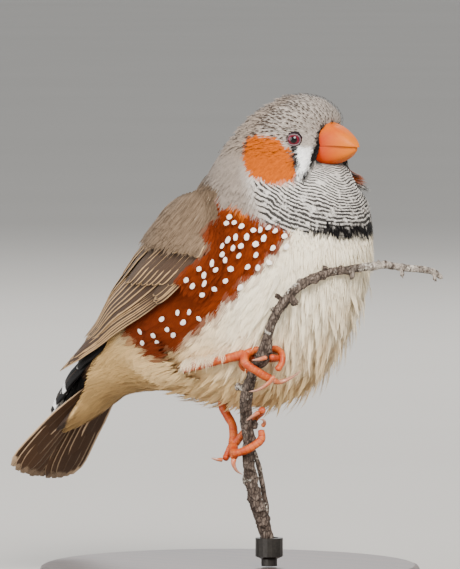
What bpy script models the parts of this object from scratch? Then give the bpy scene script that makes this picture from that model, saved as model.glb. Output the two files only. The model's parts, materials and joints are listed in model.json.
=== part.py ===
"""Male zebra finch, life size, gripping a cut twig that a plain display stand holds up.

Sizes are in millimetres and become metres when a mesh is made. The bird is modelled in its own frame:
it faces +X, +Z is up, the sagittal plane is Y = 0 and its right side is -Y. That frame stands at
BIRD_AT, so that the origin is the middle of the underside of the stand's base.
"""

import math

import bmesh
import bpy
import numpy as np
from mathutils import Vector

MM = 0.001
GAP = 0.3  # clearance between touching pieces
WELD = 0.004  # points this near are made one after a union
BIRD_AT = (0.0, 0.0, 58.0)
LEFT, RIGHT = 1, -1

# Trunk rings from the tail coverts to the crown, each square to the spine. x, z: centre of the ring.
# tilt: the spine's slope in degrees. back, belly, side: half sizes. narrow: how much the front tapers.
STATIONS = np.array([
    (-41.0, -29.5, 45.0, 1.0, 1.2, 5.0, 0.0),
    (-35.0, -23.6, 45.0, 2.6, 3.6, 6.5, 0.0),
    (-28.5, -17.6, 45.0, 4.4, 6.2, 8.0, 0.0),
    (-21.0, -13.5, 46.0, 8.0, 10.5, 10.5, 0.0),
    (-13.0, -9.8, 46.0, 12.2, 18.0, 14.0, 0.0),
    (-5.0, -6.0, 46.0, 15.5, 22.7, 16.7, 0.0),
    (2.0, -0.5, 48.0, 17.4, 23.7, 17.8, 0.0),
    (8.0, 6.5, 56.0, 17.6, 22.3, 17.5, 0.0),
    (11.5, 13.5, 68.0, 16.2, 20.2, 16.2, 0.0),
    (13.0, 19.0, 80.0, 15.5, 16.7, 14.0, 0.02),
    (13.6, 24.0, 88.0, 14.4, 12.4, 11.3, 0.06),
    (13.9, 28.5, 90.0, 12.0, 10.6, 9.9, 0.1),
    (15.3, 32.3, 90.0, 9.2, 9.5, 8.0, 0.08),
    (17.2, 35.0, 88.0, 5.0, 4.9, 4.3, 0.0),
    (17.9, 35.9, 88.0, 0.3, 0.3, 0.3, 0.0),
])
TAIL_CUT, TORSO_CUT, NECK_CUT, CROWN = 1.8, 8.6, 10.0, 14.0  # where the trunk is parted, in rings
HALF_CUT = 0.03  # half the gap at a parting, in rings
RING_POINTS = 28

# Bill: x, height of the culmen, half width. The gape is nearly level; the gonys rises to the tip.
CULMEN = np.array([
    (20.5, 31.9, 3.3), (22.3, 31.7, 3.5), (24.3, 31.2, 3.45), (26.5, 30.2, 2.9),
    (28.6, 28.7, 2.0), (29.8, 27.4, 1.0), (30.3, 26.8, 0.35),
])
GONYS = np.array([
    (20.7, 22.8, 3.3), (22.5, 22.9, 3.4), (24.5, 23.2, 3.1), (26.5, 23.8, 2.4), (28.4, 24.7, 1.5),
    (29.8, 25.8, 0.4),
])
GAPE_HEIGHT, GAPE_DIP = 26.5, 0.35
BILL_TIP = 0.4  # least depth of either half, at its tip
NOSTRIL = (22.9, 2.2, 30.3)
NOSTRIL_RADIUS = 0.5

EYE = (19.5, 6.0, 27.6)  # centre of the left eyeball
EYE_RADIUS = 2.0
EYE_TURN = 36.0  # degrees that the eye looks forward of sideways
LID_RADIUS, LID_THICKNESS, LID_OUT = 1.68, 0.3, 2.0

# The twig's centre line from its free end to its cut foot, with its radius
TWIG = np.array([
    (41.1, 11.9, 2.0, 0.4), (39.5, 10.1, 3.4, 0.6), (36.4, 6.4, 4.0, 0.65), (34.0, 3.4, 4.6, 0.65),
    (32.1, 0.0, 4.3, 0.75), (30.3, -4.0, 3.8, 0.7), (29.0, -7.0, 3.5, 0.75), (27.5, -9.9, 2.5, 0.8),
    (25.9, -12.1, 1.1, 0.85), (24.4, -13.2, -0.6, 0.9), (23.0, -14.0, -2.7, 0.9),
    (21.3, -14.2, -5.3, 0.85), (19.9, -14.0, -8.2, 0.85), (18.6, -13.2, -11.1, 1.3),
    (17.6, -12.8, -12.8, 1.25), (15.7, -12.8, -14.7, 0.9), (14.6, -12.3, -16.7, 0.95),
    (13.0, -11.5, -19.2, 1.15), (11.8, -10.3, -22.3, 1.1), (11.1, -9.2, -25.4, 1.1),
    (10.7, -7.9, -28.5, 1.1), (9.9, -7.1, -31.4, 1.1), (9.5, -6.3, -33.9, 1.1), (9.2, -5.3, -36.4, 1.15),
    (9.0, -4.0, -39.6, 1.2), (9.2, -2.4, -42.8, 1.35), (9.4, -1.2, -46.0, 1.2), (9.6, -0.3, -49.0, 1.2),
    (9.6, -0.3, -50.3, 1.2),
])
VIEW_TURN = 38.0  # places beside the twig are measured across and towards this direction
# Broken twiglets: place along the twig in points, length, radius at its root, across, towards, up
TWIGLETS = (
    (16.8, 2.4, 0.8, -0.9, 0.1, 0.25), (19.1, 2.1, 0.9, 0.95, -0.1, 0.1), (9.6, 2.2, 0.5, -0.8, 0.3, 0.6),
    (9.0, 2.3, 0.8, 0.5, 0.3, -0.8), (10.2, 1.6, 0.45, -0.9, 0.2, -0.1), (4.6, 1.9, 0.5, -0.2, 0.3, -1.0),
    (2.2, 1.8, 0.4, 0.2, 0.2, -1.0), (6.2, 1.5, 0.5, -0.3, 0.4, 0.9), (13.4, 1.6, 0.7, -0.9, 0.1, -0.3),
    (0.8, 1.6, 0.35, 0.2, 0.3, -1.0),
)
SIDE_STEM = np.array([
    (9.7, -1.9, -43.6, 0.7), (10.1, -1.9, -41.6, 0.55), (9.9, -2.3, -39.0, 0.47), (10.1, -3.2, -36.6, 0.47),
    (10.3, -4.4, -33.8, 0.45), (10.4, -6.0, -30.7, 0.42), (10.3, -7.2, -29.2, 0.4),
])

# Feet: points as (across, towards, z) beside the twig's centre line at that height, then the radius
RIGHT_FOOT = {
    "shank": [(-18.5, -11.0, -16.2, 1.0), (-14.0, -6.5, -15.2, 0.85), (-8.0, -3.4, -13.4, 0.8),
              (-3.4, -1.0, -11.9, 0.95)],
    "hind": [(-3.4, -1.0, -11.9, 0.85), (-2.7, 1.6, -13.4, 0.8),
             (0.6, 2.5, -15.0, 0.75), (3.6, 2.2, -16.6, 0.8)],
    "hind_claw": [(3.9, 2.2, -16.7, 0.48), (5.6, 1.6, -17.1, 0.36),
                  (7.6, 0.9, -16.2, 0.2), (8.8, 0.4, -15.0, 0.07)],
    "inner": [(-3.4, -1.0, -11.9, 0.8), (-1.6, -2.6, -11.2, 0.7), (1.4, -2.6, -10.9, 0.65),
              (3.1, -0.6, -11.6, 0.65), (4.0, 1.4, -13.2, 0.6), (4.3, 3.0, -14.9, 0.6)],
    "inner_claw": [(4.1, 3.7, -15.8, 0.42), (3.3, 4.2, -17.3, 0.32),
                   (1.8, 4.2, -18.5, 0.2), (0.2, 3.6, -18.9, 0.07)],
    "middle": [(-3.4, -1.0, -11.9, 0.8), (-1.8, -2.7, -12.8, 0.7), (1.6, -2.5, -12.9, 0.65),
               (2.8, 0.4, -12.6, 0.6), (1.4, 2.2, -12.3, 0.55)],
    "middle_claw": [(0.8, 2.4, -12.3, 0.36), (-0.6, 2.5, -12.7, 0.26), (-1.9, 2.0, -12.9, 0.07)],
    "outer": [(-3.4, -1.0, -11.9, 0.8), (-2.6, -2.6, -14.2, 0.65), (-0.4, -2.8, -15.4, 0.6),
              (1.8, -1.8, -15.6, 0.55)],
    "outer_claw": [(2.2, -1.3, -15.7, 0.38), (2.7, -0.2, -15.9, 0.26), (2.5, 0.9, -15.5, 0.07)],
}
LEFT_FOOT = {
    "shank": [(-4.6, -11.5, -19.5, 1.0), (-4.2, -10.2, -23.0, 0.85), (-2.7, -6.0, -26.2, 0.78),
              (-2.9, -2.4, -29.6, 0.9)],
    "hind": [(-2.9, -2.4, -29.6, 0.85), (-2.8, -0.4, -31.2, 0.8), (-2.6, 1.4, -31.6, 0.65)],
    "hind_claw": [(-2.7, 1.9, -31.9, 0.45), (-2.9, 2.6, -32.9, 0.34),
                  (-2.4, 2.8, -34.2, 0.2), (-1.4, 2.6, -35.0, 0.07)],
    "middle": [(-2.9, -2.4, -29.6, 0.85), (-2.4, 1.2, -30.9, 0.75), (0.4, 2.3, -29.8, 0.75),
               (2.3, 1.6, -28.2, 0.75), (2.6, 0.9, -26.4, 0.6)],
    "middle_claw": [(2.9, 0.9, -25.8, 0.38), (3.4, 1.3, -25.1, 0.28),
                    (3.2, 1.9, -24.5, 0.17), (2.5, 2.2, -24.3, 0.07)],
    "inner": [(-2.9, -2.4, -29.6, 0.85), (-0.9, -2.6, -27.4, 0.7), (1.4, -2.5, -24.8, 0.65),
              (2.9, -0.9, -23.2, 0.65), (3.0, 1.4, -22.6, 0.65)],
    "inner_claw": [(2.5, 2.1, -22.9, 0.38), (1.4, 2.4, -23.6, 0.27), (0.0, 2.2, -24.6, 0.07)],
    "outer": [(-2.9, -2.4, -29.6, 0.85), (-3.9, -1.6, -31.4, 0.7), (-4.4, -0.4, -32.3, 0.55)],
    "outer_claw": [(-4.9, 0.1, -32.3, 0.36), (-5.9, 0.6, -32.2, 0.24), (-7.0, 0.8, -31.9, 0.07)],
}
TUBE_SIDES = 8
POCKET_SLACK = 0.08  # a faceted hollow is a little wider than its tube and the gap

# Wing outline on the trunk: ring, then the angle from the back of its upper and of its lower edge
WING_EDGE = np.array([
    (1.5, 36.0, 50.0), (2.2, 26.0, 70.0), (3.1, 18.0, 81.0), (4.0, 15.0, 86.0), (5.0, 15.0, 89.0),
    (6.0, 19.0, 92.0), (7.0, 28.0, 93.0), (7.6, 40.0, 88.0), (8.0, 50.0, 80.0), (8.4, 58.0, 70.0),
])
WING_TIP_RISE = 2.4  # how far the folded wing stands off the rump at its tip
WING_DROOP = 42.0  # degrees that the left wing's tip hangs lower

# Wing's bed, which the feathers are rooted in: its last ring, its first one, the lift of its underside
# and of its edges, and how far its middle rises
BED_END, BED_FRONT = 3.8, 8.4
BED_UNDER, BED_TOP, BED_CROWN = 0.42, 0.9, 0.7
# Rows of wing feathers, from the lower edge up: count, then root ring, tip ring, place across at the
# root and at the tip, and lift over the body, each for the first and the last feather, and half width
WING_ROWS = (
    (6, (6.4, 6.1), (1.55, 2.7), (0.05, 0.26), (0.24, 0.60), (1.00, 1.40), 1.8),
    (6, (6.7, 6.3), (3.1, 2.4), (0.30, 0.90), (0.40, 0.96), (1.50, 1.90), 2.2),
    (6, (7.5, 7.2), (5.9, 5.2), (0.10, 0.86), (0.14, 0.90), (1.80, 2.10), 2.0),
    (5, (7.9, 7.7), (6.9, 6.2), (0.12, 0.82), (0.12, 0.84), (2.10, 2.40), 2.3),
    (3, (7.7, 7.5), (6.1, 5.9), (0.60, 0.90), (0.62, 1.00), (2.25, 2.40), 2.8),
)
ROOT_LIFT = 1.1  # the roots lie this high, inside the wing's bed
VANE_THICKNESS, VANE_ROLL = 0.5, 11.6

# Tail: root and tip of the middle feathers in the sagittal plane, and how wide the fan opens
TAIL_ROOT, TAIL_TIP = (-32.0, -20.4), (-46.8, -38.6)
TAIL_PAIRS, TAIL_VANE = 6, 2.1
TAIL_ROOT_SPREAD, TAIL_TIP_SPREAD = 2.6, 7.5  # how far the outermost feathers lie from the middle
TAIL_STEP = 0.34  # each pair lies this much under the one before it
TAIL_CUP, TAIL_ROUNDING, TAIL_BOW = 1.9, 1.4, 0.6  # outer tips turn up and fall short; feathers bow
TAIL_ROLL = 14.0  # degrees that the fan is turned, right side up
# Tail coverts: count, angle from the back of the outermost, tip ring, lift at root and tip, half width
UPPER_COVERTS = (7, 62.0, 0.1, 0.0, 1.1, 1.5)
UNDER_COVERTS = (5, 40.0, 0.5, -0.2, 0.3, 1.7)

STAND_RADIUS, STAND_HEIGHT, STAND_EDGE = 36.0, 5.0, 1.0
ROD_RADIUS, CUP_RADIUS, CUP_DEPTH, CUP_SLACK, CUP_TOP = 1.5, 2.6, 3.2, 0.3, -47.4

COLOURS = {
    "head": (0.42, 0.38, 0.35), "neck": (0.45, 0.42, 0.39), "torso": (0.80, 0.74, 0.62),
    "wing": (0.30, 0.24, 0.18), "tail": (0.10, 0.07, 0.05), "bill": (0.85, 0.22, 0.03),
    "eye": (0.10, 0.01, 0.01), "leg": (0.83, 0.26, 0.07), "claw": (0.75, 0.45, 0.36),
    "twig": (0.17, 0.13, 0.10), "stand": (0.05, 0.05, 0.055),
}


def material(kind, roughness=0.7):
    found = bpy.data.materials.get(kind)
    if found:
        return found
    made = bpy.data.materials.new(kind)
    made.use_nodes = True
    shader = made.node_tree.nodes["Principled BSDF"]
    shader.inputs["Base Color"].default_value = (*COLOURS[kind], 1.0)
    shader.inputs["Roughness"].default_value = roughness
    return made


def spline(table, t):
    """Catmull-Rom through the rows of table at t, counted in rows."""
    last = len(table) - 1
    t = min(max(t, 0.0), float(last))
    i = min(int(t), last - 1)
    f = t - i
    p1, p2 = table[i], table[i + 1]
    p0 = table[i - 1] if i > 0 else 2 * p1 - p2
    p3 = table[i + 2] if i + 2 <= last else 2 * p2 - p1
    return 0.5 * (2 * p1 + (p2 - p0) * f + (2 * p0 - 5 * p1 + 4 * p2 - p3) * f * f
                  + (3 * p1 - p0 - 3 * p2 + p3) * f ** 3)


def trunk_point(t, angle, offset=0.0):
    """A point of the trunk's surface. angle 0 is the belly, 90 the left side, 180 the back."""
    x, z, tilt, back, belly, side, narrow = spline(STATIONS, t)
    tilt = math.radians(tilt)
    ventral = Vector((math.sin(tilt), 0, -math.cos(tilt)))
    along = math.cos(angle)
    depth = (belly if along > 0 else back) + offset
    width = (side + offset) * (1 - narrow * max(along, 0.0) ** 2) * math.sin(angle)
    return Vector((x, 0, z)) + ventral * (depth * along) + Vector((0, width, 0))


def coat_point(t, from_back, lift, side):
    """A point over the trunk, by the angle in degrees from the middle of the back."""
    return trunk_point(t, math.radians(180 - side * from_back), lift)


def mesh_object(name, vertices, faces, location=BIRD_AT):
    """An object whose faces are turned outwards."""
    mesh = bpy.data.meshes.new(name)
    mesh.from_pydata([tuple((v[k] + location[k]) * MM for k in range(3)) for v in vertices], [], faces)
    surface = bmesh.new()
    surface.from_mesh(mesh)
    bmesh.ops.recalc_face_normals(surface, faces=surface.faces)
    bmesh.ops.triangulate(surface, faces=[f for f in surface.faces if len(f.verts) > 4])
    if surface.calc_volume(signed=True) < 0:
        bmesh.ops.reverse_faces(surface, faces=surface.faces)
    surface.to_mesh(mesh)
    surface.free()
    obj = bpy.data.objects.new(name, mesh)
    bpy.context.scene.collection.objects.link(obj)
    return obj


def loft(name, rings, flat=False):
    """A closed body through rings of equal count.

    Each end ring is closed by a fan or, where the ring is flat and bent, by a strip across it.
    """
    count = len(rings[0])
    vertices = [p for ring in rings for p in ring]
    faces = []
    for i in range(len(rings) - 1):
        for k in range(count):
            a, b = i * count + k, i * count + (k + 1) % count
            faces.append((a, b, b + count, a + count))
    for first in (0, (len(rings) - 1) * count):
        if flat:
            strip = [(first + k, first + k + 1, first + count - 2 - k, first + count - 1 - k)
                     for k in range(count // 2 - 1)]
            faces += strip if first else [face[::-1] for face in strip]
            continue
        centre = len(vertices)
        vertices.append(sum((Vector(p) for p in vertices[first:first + count]), Vector()) / count)
        for k in range(count):
            a, b = first + k, first + (k + 1) % count
            faces.append((b, a, centre) if first == 0 else (a, b, centre))
    return mesh_object(name, vertices, faces)


def tube(name, table, rings, sides=TUBE_SIDES, grow=0.0):
    """A round tube along a smooth line; each row of table is x, y, z and the radius."""
    table = np.asarray(table, float)
    stops = [spline(table, t) for t in np.linspace(0, len(table) - 1, rings)]
    centres = [Vector(stop[:3]) for stop in stops]
    normal = None
    made = []
    for i, centre in enumerate(centres):
        ahead, behind = centres[min(i + 1, rings - 1)], centres[max(i - 1, 0)]
        tangent = (ahead - behind).normalized()
        if normal is None:
            normal = tangent.orthogonal()
        normal = (normal - tangent * normal.dot(tangent)).normalized()
        other = tangent.cross(normal)
        radius = max(stops[i][3], 0.05) + grow
        made.append([centre + (normal * math.cos(a) + other * math.sin(a)) * radius
                     for a in (2 * math.pi * k / sides for k in range(sides))])
    return loft(name, made)


def ball(name, centre, radius, sides=14, rings=8):
    made = []
    for i in range(1, rings):
        polar = math.pi * i / rings
        made.append([Vector(centre) + Vector((math.sin(polar) * math.cos(a), math.sin(polar) * math.sin(a),
                                              math.cos(polar))) * radius
                     for a in (2 * math.pi * k / sides for k in range(sides))])
    return loft(name, made)


def hoop(name, centre, axis, radius, thickness, sides=16, wall=5):
    """A ring of round wire about axis."""
    axis = Vector(axis).normalized()
    across = axis.orthogonal().normalized()
    other = axis.cross(across)
    vertices, faces = [], []
    for i in range(sides):
        a = 2 * math.pi * i / sides
        out = across * math.cos(a) + other * math.sin(a)
        for k in range(wall):
            b = 2 * math.pi * k / wall
            wire = out * (radius + thickness * math.cos(b)) + axis * (thickness * math.sin(b))
            vertices.append(Vector(centre) + wire)
            faces.append((i * wall + k, i * wall + (k + 1) % wall, (i + 1) % sides * wall + (k + 1) % wall,
                          (i + 1) % sides * wall + k))
    return mesh_object(name, vertices, faces)


def combine(obj, others, operation, solver="EXACT"):
    """Applies one Boolean with a collection of closed meshes, then keeps the largest surface."""
    group = bpy.data.collections.new(obj.name + "_with")
    bpy.context.scene.collection.children.link(group)
    for other in others:
        bpy.context.scene.collection.objects.unlink(other)
        group.objects.link(other)
    modifier = obj.modifiers.new("Boolean", "BOOLEAN")
    modifier.operation = operation
    modifier.operand_type = "COLLECTION"
    modifier.collection = group
    modifier.solver = solver
    modifier.use_self = solver == "EXACT" and operation == "UNION"
    bpy.context.view_layer.update()
    result = bpy.data.meshes.new_from_object(obj.evaluated_get(bpy.context.evaluated_depsgraph_get()))
    obj.modifiers.clear()
    obj.data = result
    for other in list(group.objects):
        bpy.data.objects.remove(other, do_unlink=True)
    bpy.data.collections.remove(group)
    keep_largest(result, WELD * MM if solver == "EXACT" else 0)
    return obj


def keep_largest(mesh, weld):
    """Drops all but the surface that reaches furthest."""
    surface = bmesh.new()
    surface.from_mesh(mesh)
    if weld:
        bmesh.ops.remove_doubles(surface, verts=surface.verts, dist=weld)
        bmesh.ops.dissolve_degenerate(surface, edges=surface.edges, dist=weld)
    bmesh.ops.triangulate(surface, faces=surface.faces)
    unseen = set(surface.faces)
    groups = []
    while unseen:
        front = [unseen.pop()]
        group = list(front)
        while front:
            for edge in front.pop().edges:
                near = [face for face in edge.link_faces if face in unseen]
                unseen.difference_update(near)
                front += near
                group += near
        groups.append(group)

    def reach(group):
        places = np.array([vertex.co for face in group for vertex in face.verts])
        return float(np.linalg.norm(places.max(axis=0) - places.min(axis=0)))

    groups.sort(key=reach, reverse=True)
    bmesh.ops.delete(surface, geom=[face for group in groups[1:] for face in group], context="FACES")
    surface.to_mesh(mesh)
    surface.free()


def finish(obj, kind, roughness=0.7, smooth=40.0):
    obj.data.materials.clear()
    obj.data.materials.append(material(kind, roughness))
    obj.data.shade_smooth()
    obj.data.set_sharp_from_angle(angle=math.radians(smooth))


def trunk_part(name, start, end, rings):
    angles = [2 * math.pi * k / RING_POINTS for k in range(RING_POINTS)]
    return loft(name, [[trunk_point(t, a) for a in angles] for t in np.linspace(start, end, rings)])


def gape(x):
    return GAPE_HEIGHT - GAPE_DIP * math.sin(math.pi * min(max((x - 22.0) / 9.0, 0.0), 1.0))


def bill_half(name, table, upper, grow=0.0, stops=11):
    """One mandible: an arch over the gape, or a keel under it."""
    rings = []
    for t in np.linspace(0, len(table) - 1, stops):
        x, height, width = spline(table, t)
        x -= grow if t == 0 else 0
        face = 1 if upper else -1
        line = gape(x) + face * GAP / 2
        line = min(line, height - BILL_TIP) if upper else max(line, height + BILL_TIP)
        line -= face * grow
        rise = height + face * grow - line
        ring = [Vector((x, (width + grow) * math.cos(a), line + rise * math.sin(a) ** 0.85))
                for a in (math.pi * k / 9 for k in range(10))]
        ring += [Vector((x, (width + grow) * f, line)) for f in (-0.5, 0.0, 0.5)]
        rings.append(ring)
    return loft(name, rings)


def make_bill():
    upper = bill_half("bill_upper", CULMEN, True)
    x, y, z = NOSTRIL
    holes = [ball("nostril", (x, side * y, z), NOSTRIL_RADIUS, 8, 6) for side in (LEFT, RIGHT)]
    finish(combine(upper, holes, "DIFFERENCE"), "bill", 0.35)
    finish(bill_half("bill_lower", GONYS, False), "bill", 0.35)


def eye_axis(side):
    turn = math.radians(EYE_TURN)
    return Vector((math.sin(turn), side * math.cos(turn), 0.05)).normalized()


def make_head():
    head = trunk_part("head", NECK_CUT + HALF_CUT, CROWN, 14)
    cutters = [bill_half("bill_hole", CULMEN, True, GAP, 7), bill_half("chin_hole", GONYS, False, GAP, 6)]
    lids = []
    for side in (LEFT, RIGHT):
        centre = Vector((EYE[0], side * EYE[1], EYE[2]))
        cutters.append(ball("socket", centre, EYE_RADIUS + GAP))
        axis = eye_axis(side)
        lids.append(hoop("lid", centre + axis * LID_OUT, axis, LID_RADIUS, LID_THICKNESS))
        finish(ball("eye_l" if side == LEFT else "eye_r", centre, EYE_RADIUS), "eye", 0.1)
    combine(head, cutters, "DIFFERENCE")
    finish(combine(head, lids, "UNION"), "head")


def twig_at(z):
    """The twig's centre at a height, below its bend over the breast."""
    rows = TWIG[::-1]
    return Vector([float(np.interp(z, rows[:20, 2], rows[:20, k])) for k in range(2)] + [z])


def beside_twig(point):
    across, towards, z, radius = point
    turn = math.radians(VIEW_TURN)
    place = twig_at(z) + Vector((math.cos(turn), math.sin(turn), 0)) * across
    place += Vector((math.sin(turn), -math.cos(turn), 0)) * towards
    return (*place, radius)


def make_leg(name, foot):
    """Shank and toes are one body; each claw is its own, a gap beyond its toe."""
    rows = {part: [beside_twig(p) for p in points] for part, points in foot.items()}
    leg = tube(name, rows["shank"], 10)
    toes = [tube(part, points, 3 * len(points) - 2) for part, points in rows.items()
            if part != "shank" and not part.endswith("claw")]
    finish(combine(leg, toes, "UNION"), "leg", 0.5)
    for part, points in rows.items():
        if part.endswith("claw"):
            finish(tube(f"claw_{name[-1]}_{part[:-5]}", points, 7, 6), "claw", 0.35)
    return [points for part, points in rows.items() if not part.endswith("claw")]


def make_torso(limbs):
    """The coat is pressed in round the shanks and toes."""
    torso = trunk_part("torso", TAIL_CUT + HALF_CUT, TORSO_CUT - HALF_CUT, 18)
    cutters = [tube("pocket", limb, 3 * len(limb) - 2, grow=GAP + POCKET_SLACK) for limb in limbs]
    finish(combine(torso, cutters, "DIFFERENCE"), "torso")


def make_neck():
    neck = trunk_part("neck", TORSO_CUT + HALF_CUT, NECK_CUT - HALF_CUT, 6)
    finish(combine(neck, [bill_half("chin_hole", GONYS, False, GAP, 6)], "DIFFERENCE"), "neck")


def wing_edges(t):
    return [float(np.interp(t, WING_EDGE[:, 0], WING_EDGE[:, k])) for k in (1, 2)]


def wing_point(t, across, lift, side):
    """A point over the folded wing's bed: across is 0 at the lower edge and 1 at the upper edge."""
    upper, lower = wing_edges(t)
    fold = min(max((8.0 - t) / 6.5, 0.0), 1.0)
    droop = WING_DROOP * fold if side == LEFT else 0.0
    rise = WING_TIP_RISE * max((3.4 - t) / 1.9, 0.0) ** 1.5
    return coat_point(t, lower + (upper - lower) * across + droop, lift + rise, side)


def wing_bed(name, side):
    """The smooth solid that the wing's feathers are rooted in."""
    rings = []
    for t in np.linspace(BED_END, BED_FRONT, 9):
        lowest = 0.3 * max(1.0 - (t - BED_END) / 1.6, 0.0)
        steps = np.linspace(lowest, 1, 8)
        crown = BED_CROWN * min(1.0, 0.1 + (BED_FRONT - t) / 1.2, 0.1 + (t - BED_END) / 2.0)
        outer = [wing_point(t, f, BED_TOP + crown * math.sin(math.pi * f) ** 0.6, side) for f in steps]
        inner = [wing_point(t, f, BED_UNDER, side) for f in steps[::-1]]
        rings.append(outer + inner)
    return loft(name, rings, flat=True)


def vane_width(s):
    """How wide a vane is along its length, as a share of its widest."""
    return min(0.55 + 0.9 * s, 1.0) * math.sqrt(max(1.0 - max((s - 0.72) / 0.29, 0.0) ** 2, 0.0))


def vane(name, place, half_width, roll, steps):
    """A flat feather; place(s) gives its middle line and which way is out, and roll tilts it.

    Both faces are split into triangles alike.
    """
    middles = [place(s) for s in steps]
    count = len(steps)
    vertices = []
    for i, s in enumerate(steps):
        centre, out = middles[i]
        along = (middles[min(i + 1, count - 1)][0] - middles[max(i - 1, 0)][0]).normalized()
        across = out.cross(along).normalized()
        up = along.cross(across)
        tilt = math.radians(roll)
        wide = across * math.cos(tilt) + up * math.sin(tilt)
        half = half_width * vane_width(s)
        top, low = up * (VANE_THICKNESS / 2), up * (-VANE_THICKNESS / 2)
        vertices += [centre + wide * half + top, centre - wide * half + top, centre - wide * half + low,
                     centre + wide * half + low]
    last = (count - 1) * 4
    faces = [(0, 1, 2, 3), (last + 3, last + 2, last + 1, last)]
    for i in range(count - 1):
        for a, b in ((0, 1), (1, 2), (3, 2), (3, 0)):
            a, b, c, d = i * 4 + a, i * 4 + b, i * 4 + 4 + b, i * 4 + 4 + a
            faces += [(a, b, c), (a, c, d)]
    return mesh_object(name, vertices, faces)


def blend(ends, f):
    return ends[0] + (ends[1] - ends[0]) * f


def make_wing(name, side):
    pieces = []
    for row, (count, roots, tips, root_across, tip_across, lifts, half_width) in enumerate(WING_ROWS):
        steps = (0.0, 0.35, 0.7, 0.88, 0.97) if row < 2 else (0.0, 0.55, 0.85, 0.97)
        for k in range(count):
            f = k / (count - 1)
            t0, t1 = blend(roots, f), blend(tips, f)
            across = (blend(root_across, f), blend(tip_across, f))
            lift = blend(lifts, f)

            def place(s):
                t, height = t0 + (t1 - t0) * s, blend((ROOT_LIFT, lift), min(s * 1.6, 1.0))
                here = wing_point(t, blend(across, s), height, side)
                return here, wing_point(t, blend(across, s), height + 1, side) - here

            pieces.append(vane("feather", place, half_width, -side * VANE_ROLL, steps))
    finish(combine(wing_bed(name, side), pieces, "UNION", "MANIFOLD"), "wing")


def tail_feather(rank, side):
    """One of a pair of tail feathers; rank 0 is the middle pair, on top of the fan."""
    share = (rank + 0.5) / (TAIL_PAIRS - 0.5)
    root, tip = Vector((TAIL_ROOT[0], 0, TAIL_ROOT[1])), Vector((TAIL_TIP[0], 0, TAIL_TIP[1]))
    along = (tip - root).normalized()
    up = Vector((along.z, 0, -along.x))
    turn = math.radians(TAIL_ROLL)
    outward = Vector((0, side * math.cos(turn), 0)) - up * side * math.sin(turn)
    root += outward * TAIL_ROOT_SPREAD * share - up * TAIL_STEP * rank
    tip += outward * TAIL_TIP_SPREAD * share + up * (TAIL_CUP * share ** 2 - TAIL_STEP * rank)
    tip -= along * TAIL_ROUNDING * share ** 2

    def place(s):
        return root + (tip - root) * s + up * TAIL_BOW * math.sin(math.pi * s), up

    return vane("rectrix", place, TAIL_VANE, TAIL_ROLL, (0.0, 0.5, 0.85, 0.98))


def tail_coverts(row, middle):
    """Feathers that lie over the tail's root, above (middle 0) or below it (middle 180)."""
    count, spread, tip_ring, root_lift, tip_lift, half_width = row
    root_ring = TAIL_CUT - 4 * HALF_CUT
    made = []
    for k in range(count):
        turn = blend((-spread, spread), k / (count - 1))
        end = tip_ring + 0.35 * abs(turn) / spread

        def place(s):
            t = blend((root_ring, end), s)
            angle = middle + turn * (1 - 0.25 * s)
            lift = blend((root_lift, tip_lift), s)
            here = coat_point(t, angle, lift, LEFT)
            return here, coat_point(t, angle, lift + 1, LEFT) - here

        made.append(vane("covert", place, half_width, 0.0, (0.0, 0.5, 0.8, 0.97)))
    return made


def make_tail():
    tail = trunk_part("tail", 0.0, TAIL_CUT - HALF_CUT, 8)
    pieces = [tail_feather(rank, side) for rank in range(TAIL_PAIRS) for side in (LEFT, RIGHT)]
    pieces += tail_coverts(UPPER_COVERTS, 0.0) + tail_coverts(UNDER_COVERTS, 180.0)
    finish(combine(tail, pieces, "UNION", "MANIFOLD"), "tail")


def make_perch():
    twig = tube("perch_twig", TWIG, 52, 8)
    pieces = [tube("side_stem", SIDE_STEM, 12, 6)]
    turn = math.radians(VIEW_TURN)
    for place, length, radius, across, towards, up in TWIGLETS:
        x, y, z, _ = spline(TWIG, place)
        way = Vector((math.cos(turn) * across + math.sin(turn) * towards,
                      math.sin(turn) * across - math.cos(turn) * towards, up)).normalized()
        start = Vector((x, y, z))
        middle, end = start + way * length * 0.6, start + way * length
        rows = [(*start, radius), (*middle, radius * 0.85), (*end, radius * 0.65)]
        pieces.append(tube("twiglet", rows, 3, 5))
    finish(combine(twig, pieces, "UNION"), "twig", 0.85)


def turned(name, profile, centre, sides=40):
    """A closed body turned about a vertical line; profile rows are radius and height, outside first."""
    rings = [[Vector((centre[0] + r * math.cos(a), centre[1] + r * math.sin(a), z))
              for a in (2 * math.pi * k / sides for k in range(sides))] for r, z in profile]
    return loft(name, rings)


def make_stand():
    floor = -BIRD_AT[2]
    top = floor + STAND_HEIGHT
    profile = [(STAND_RADIUS - 0.6, floor), (STAND_RADIUS, floor + 0.6), (STAND_RADIUS, top - STAND_EDGE),
               (STAND_RADIUS - 0.3 * STAND_EDGE, top - 0.3 * STAND_EDGE), (STAND_RADIUS - STAND_EDGE, top)]
    finish(turned("stand_base", profile, (0, 0)), "stand", 0.4)
    foot = TWIG[-1]
    cup_floor = CUP_TOP - CUP_DEPTH
    bore = foot[3] + GAP + CUP_SLACK
    profile = [(ROD_RADIUS, top + GAP), (ROD_RADIUS, cup_floor - 0.8), (CUP_RADIUS, cup_floor - 0.3),
               (CUP_RADIUS, CUP_TOP), (bore, CUP_TOP), (bore, cup_floor)]
    finish(turned("stand_rod", profile, foot[:2], 18), "stand", 0.4)


def main():
    for obj in list(bpy.data.objects):
        bpy.data.objects.remove(obj, do_unlink=True)
    make_head()
    make_bill()
    make_neck()
    make_torso(make_leg("leg_r", RIGHT_FOOT) + make_leg("leg_l", LEFT_FOOT))
    for name, side in (("wing_l", LEFT), ("wing_r", RIGHT)):
        make_wing(name, side)
    make_tail()
    make_perch()
    make_stand()


main()
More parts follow.
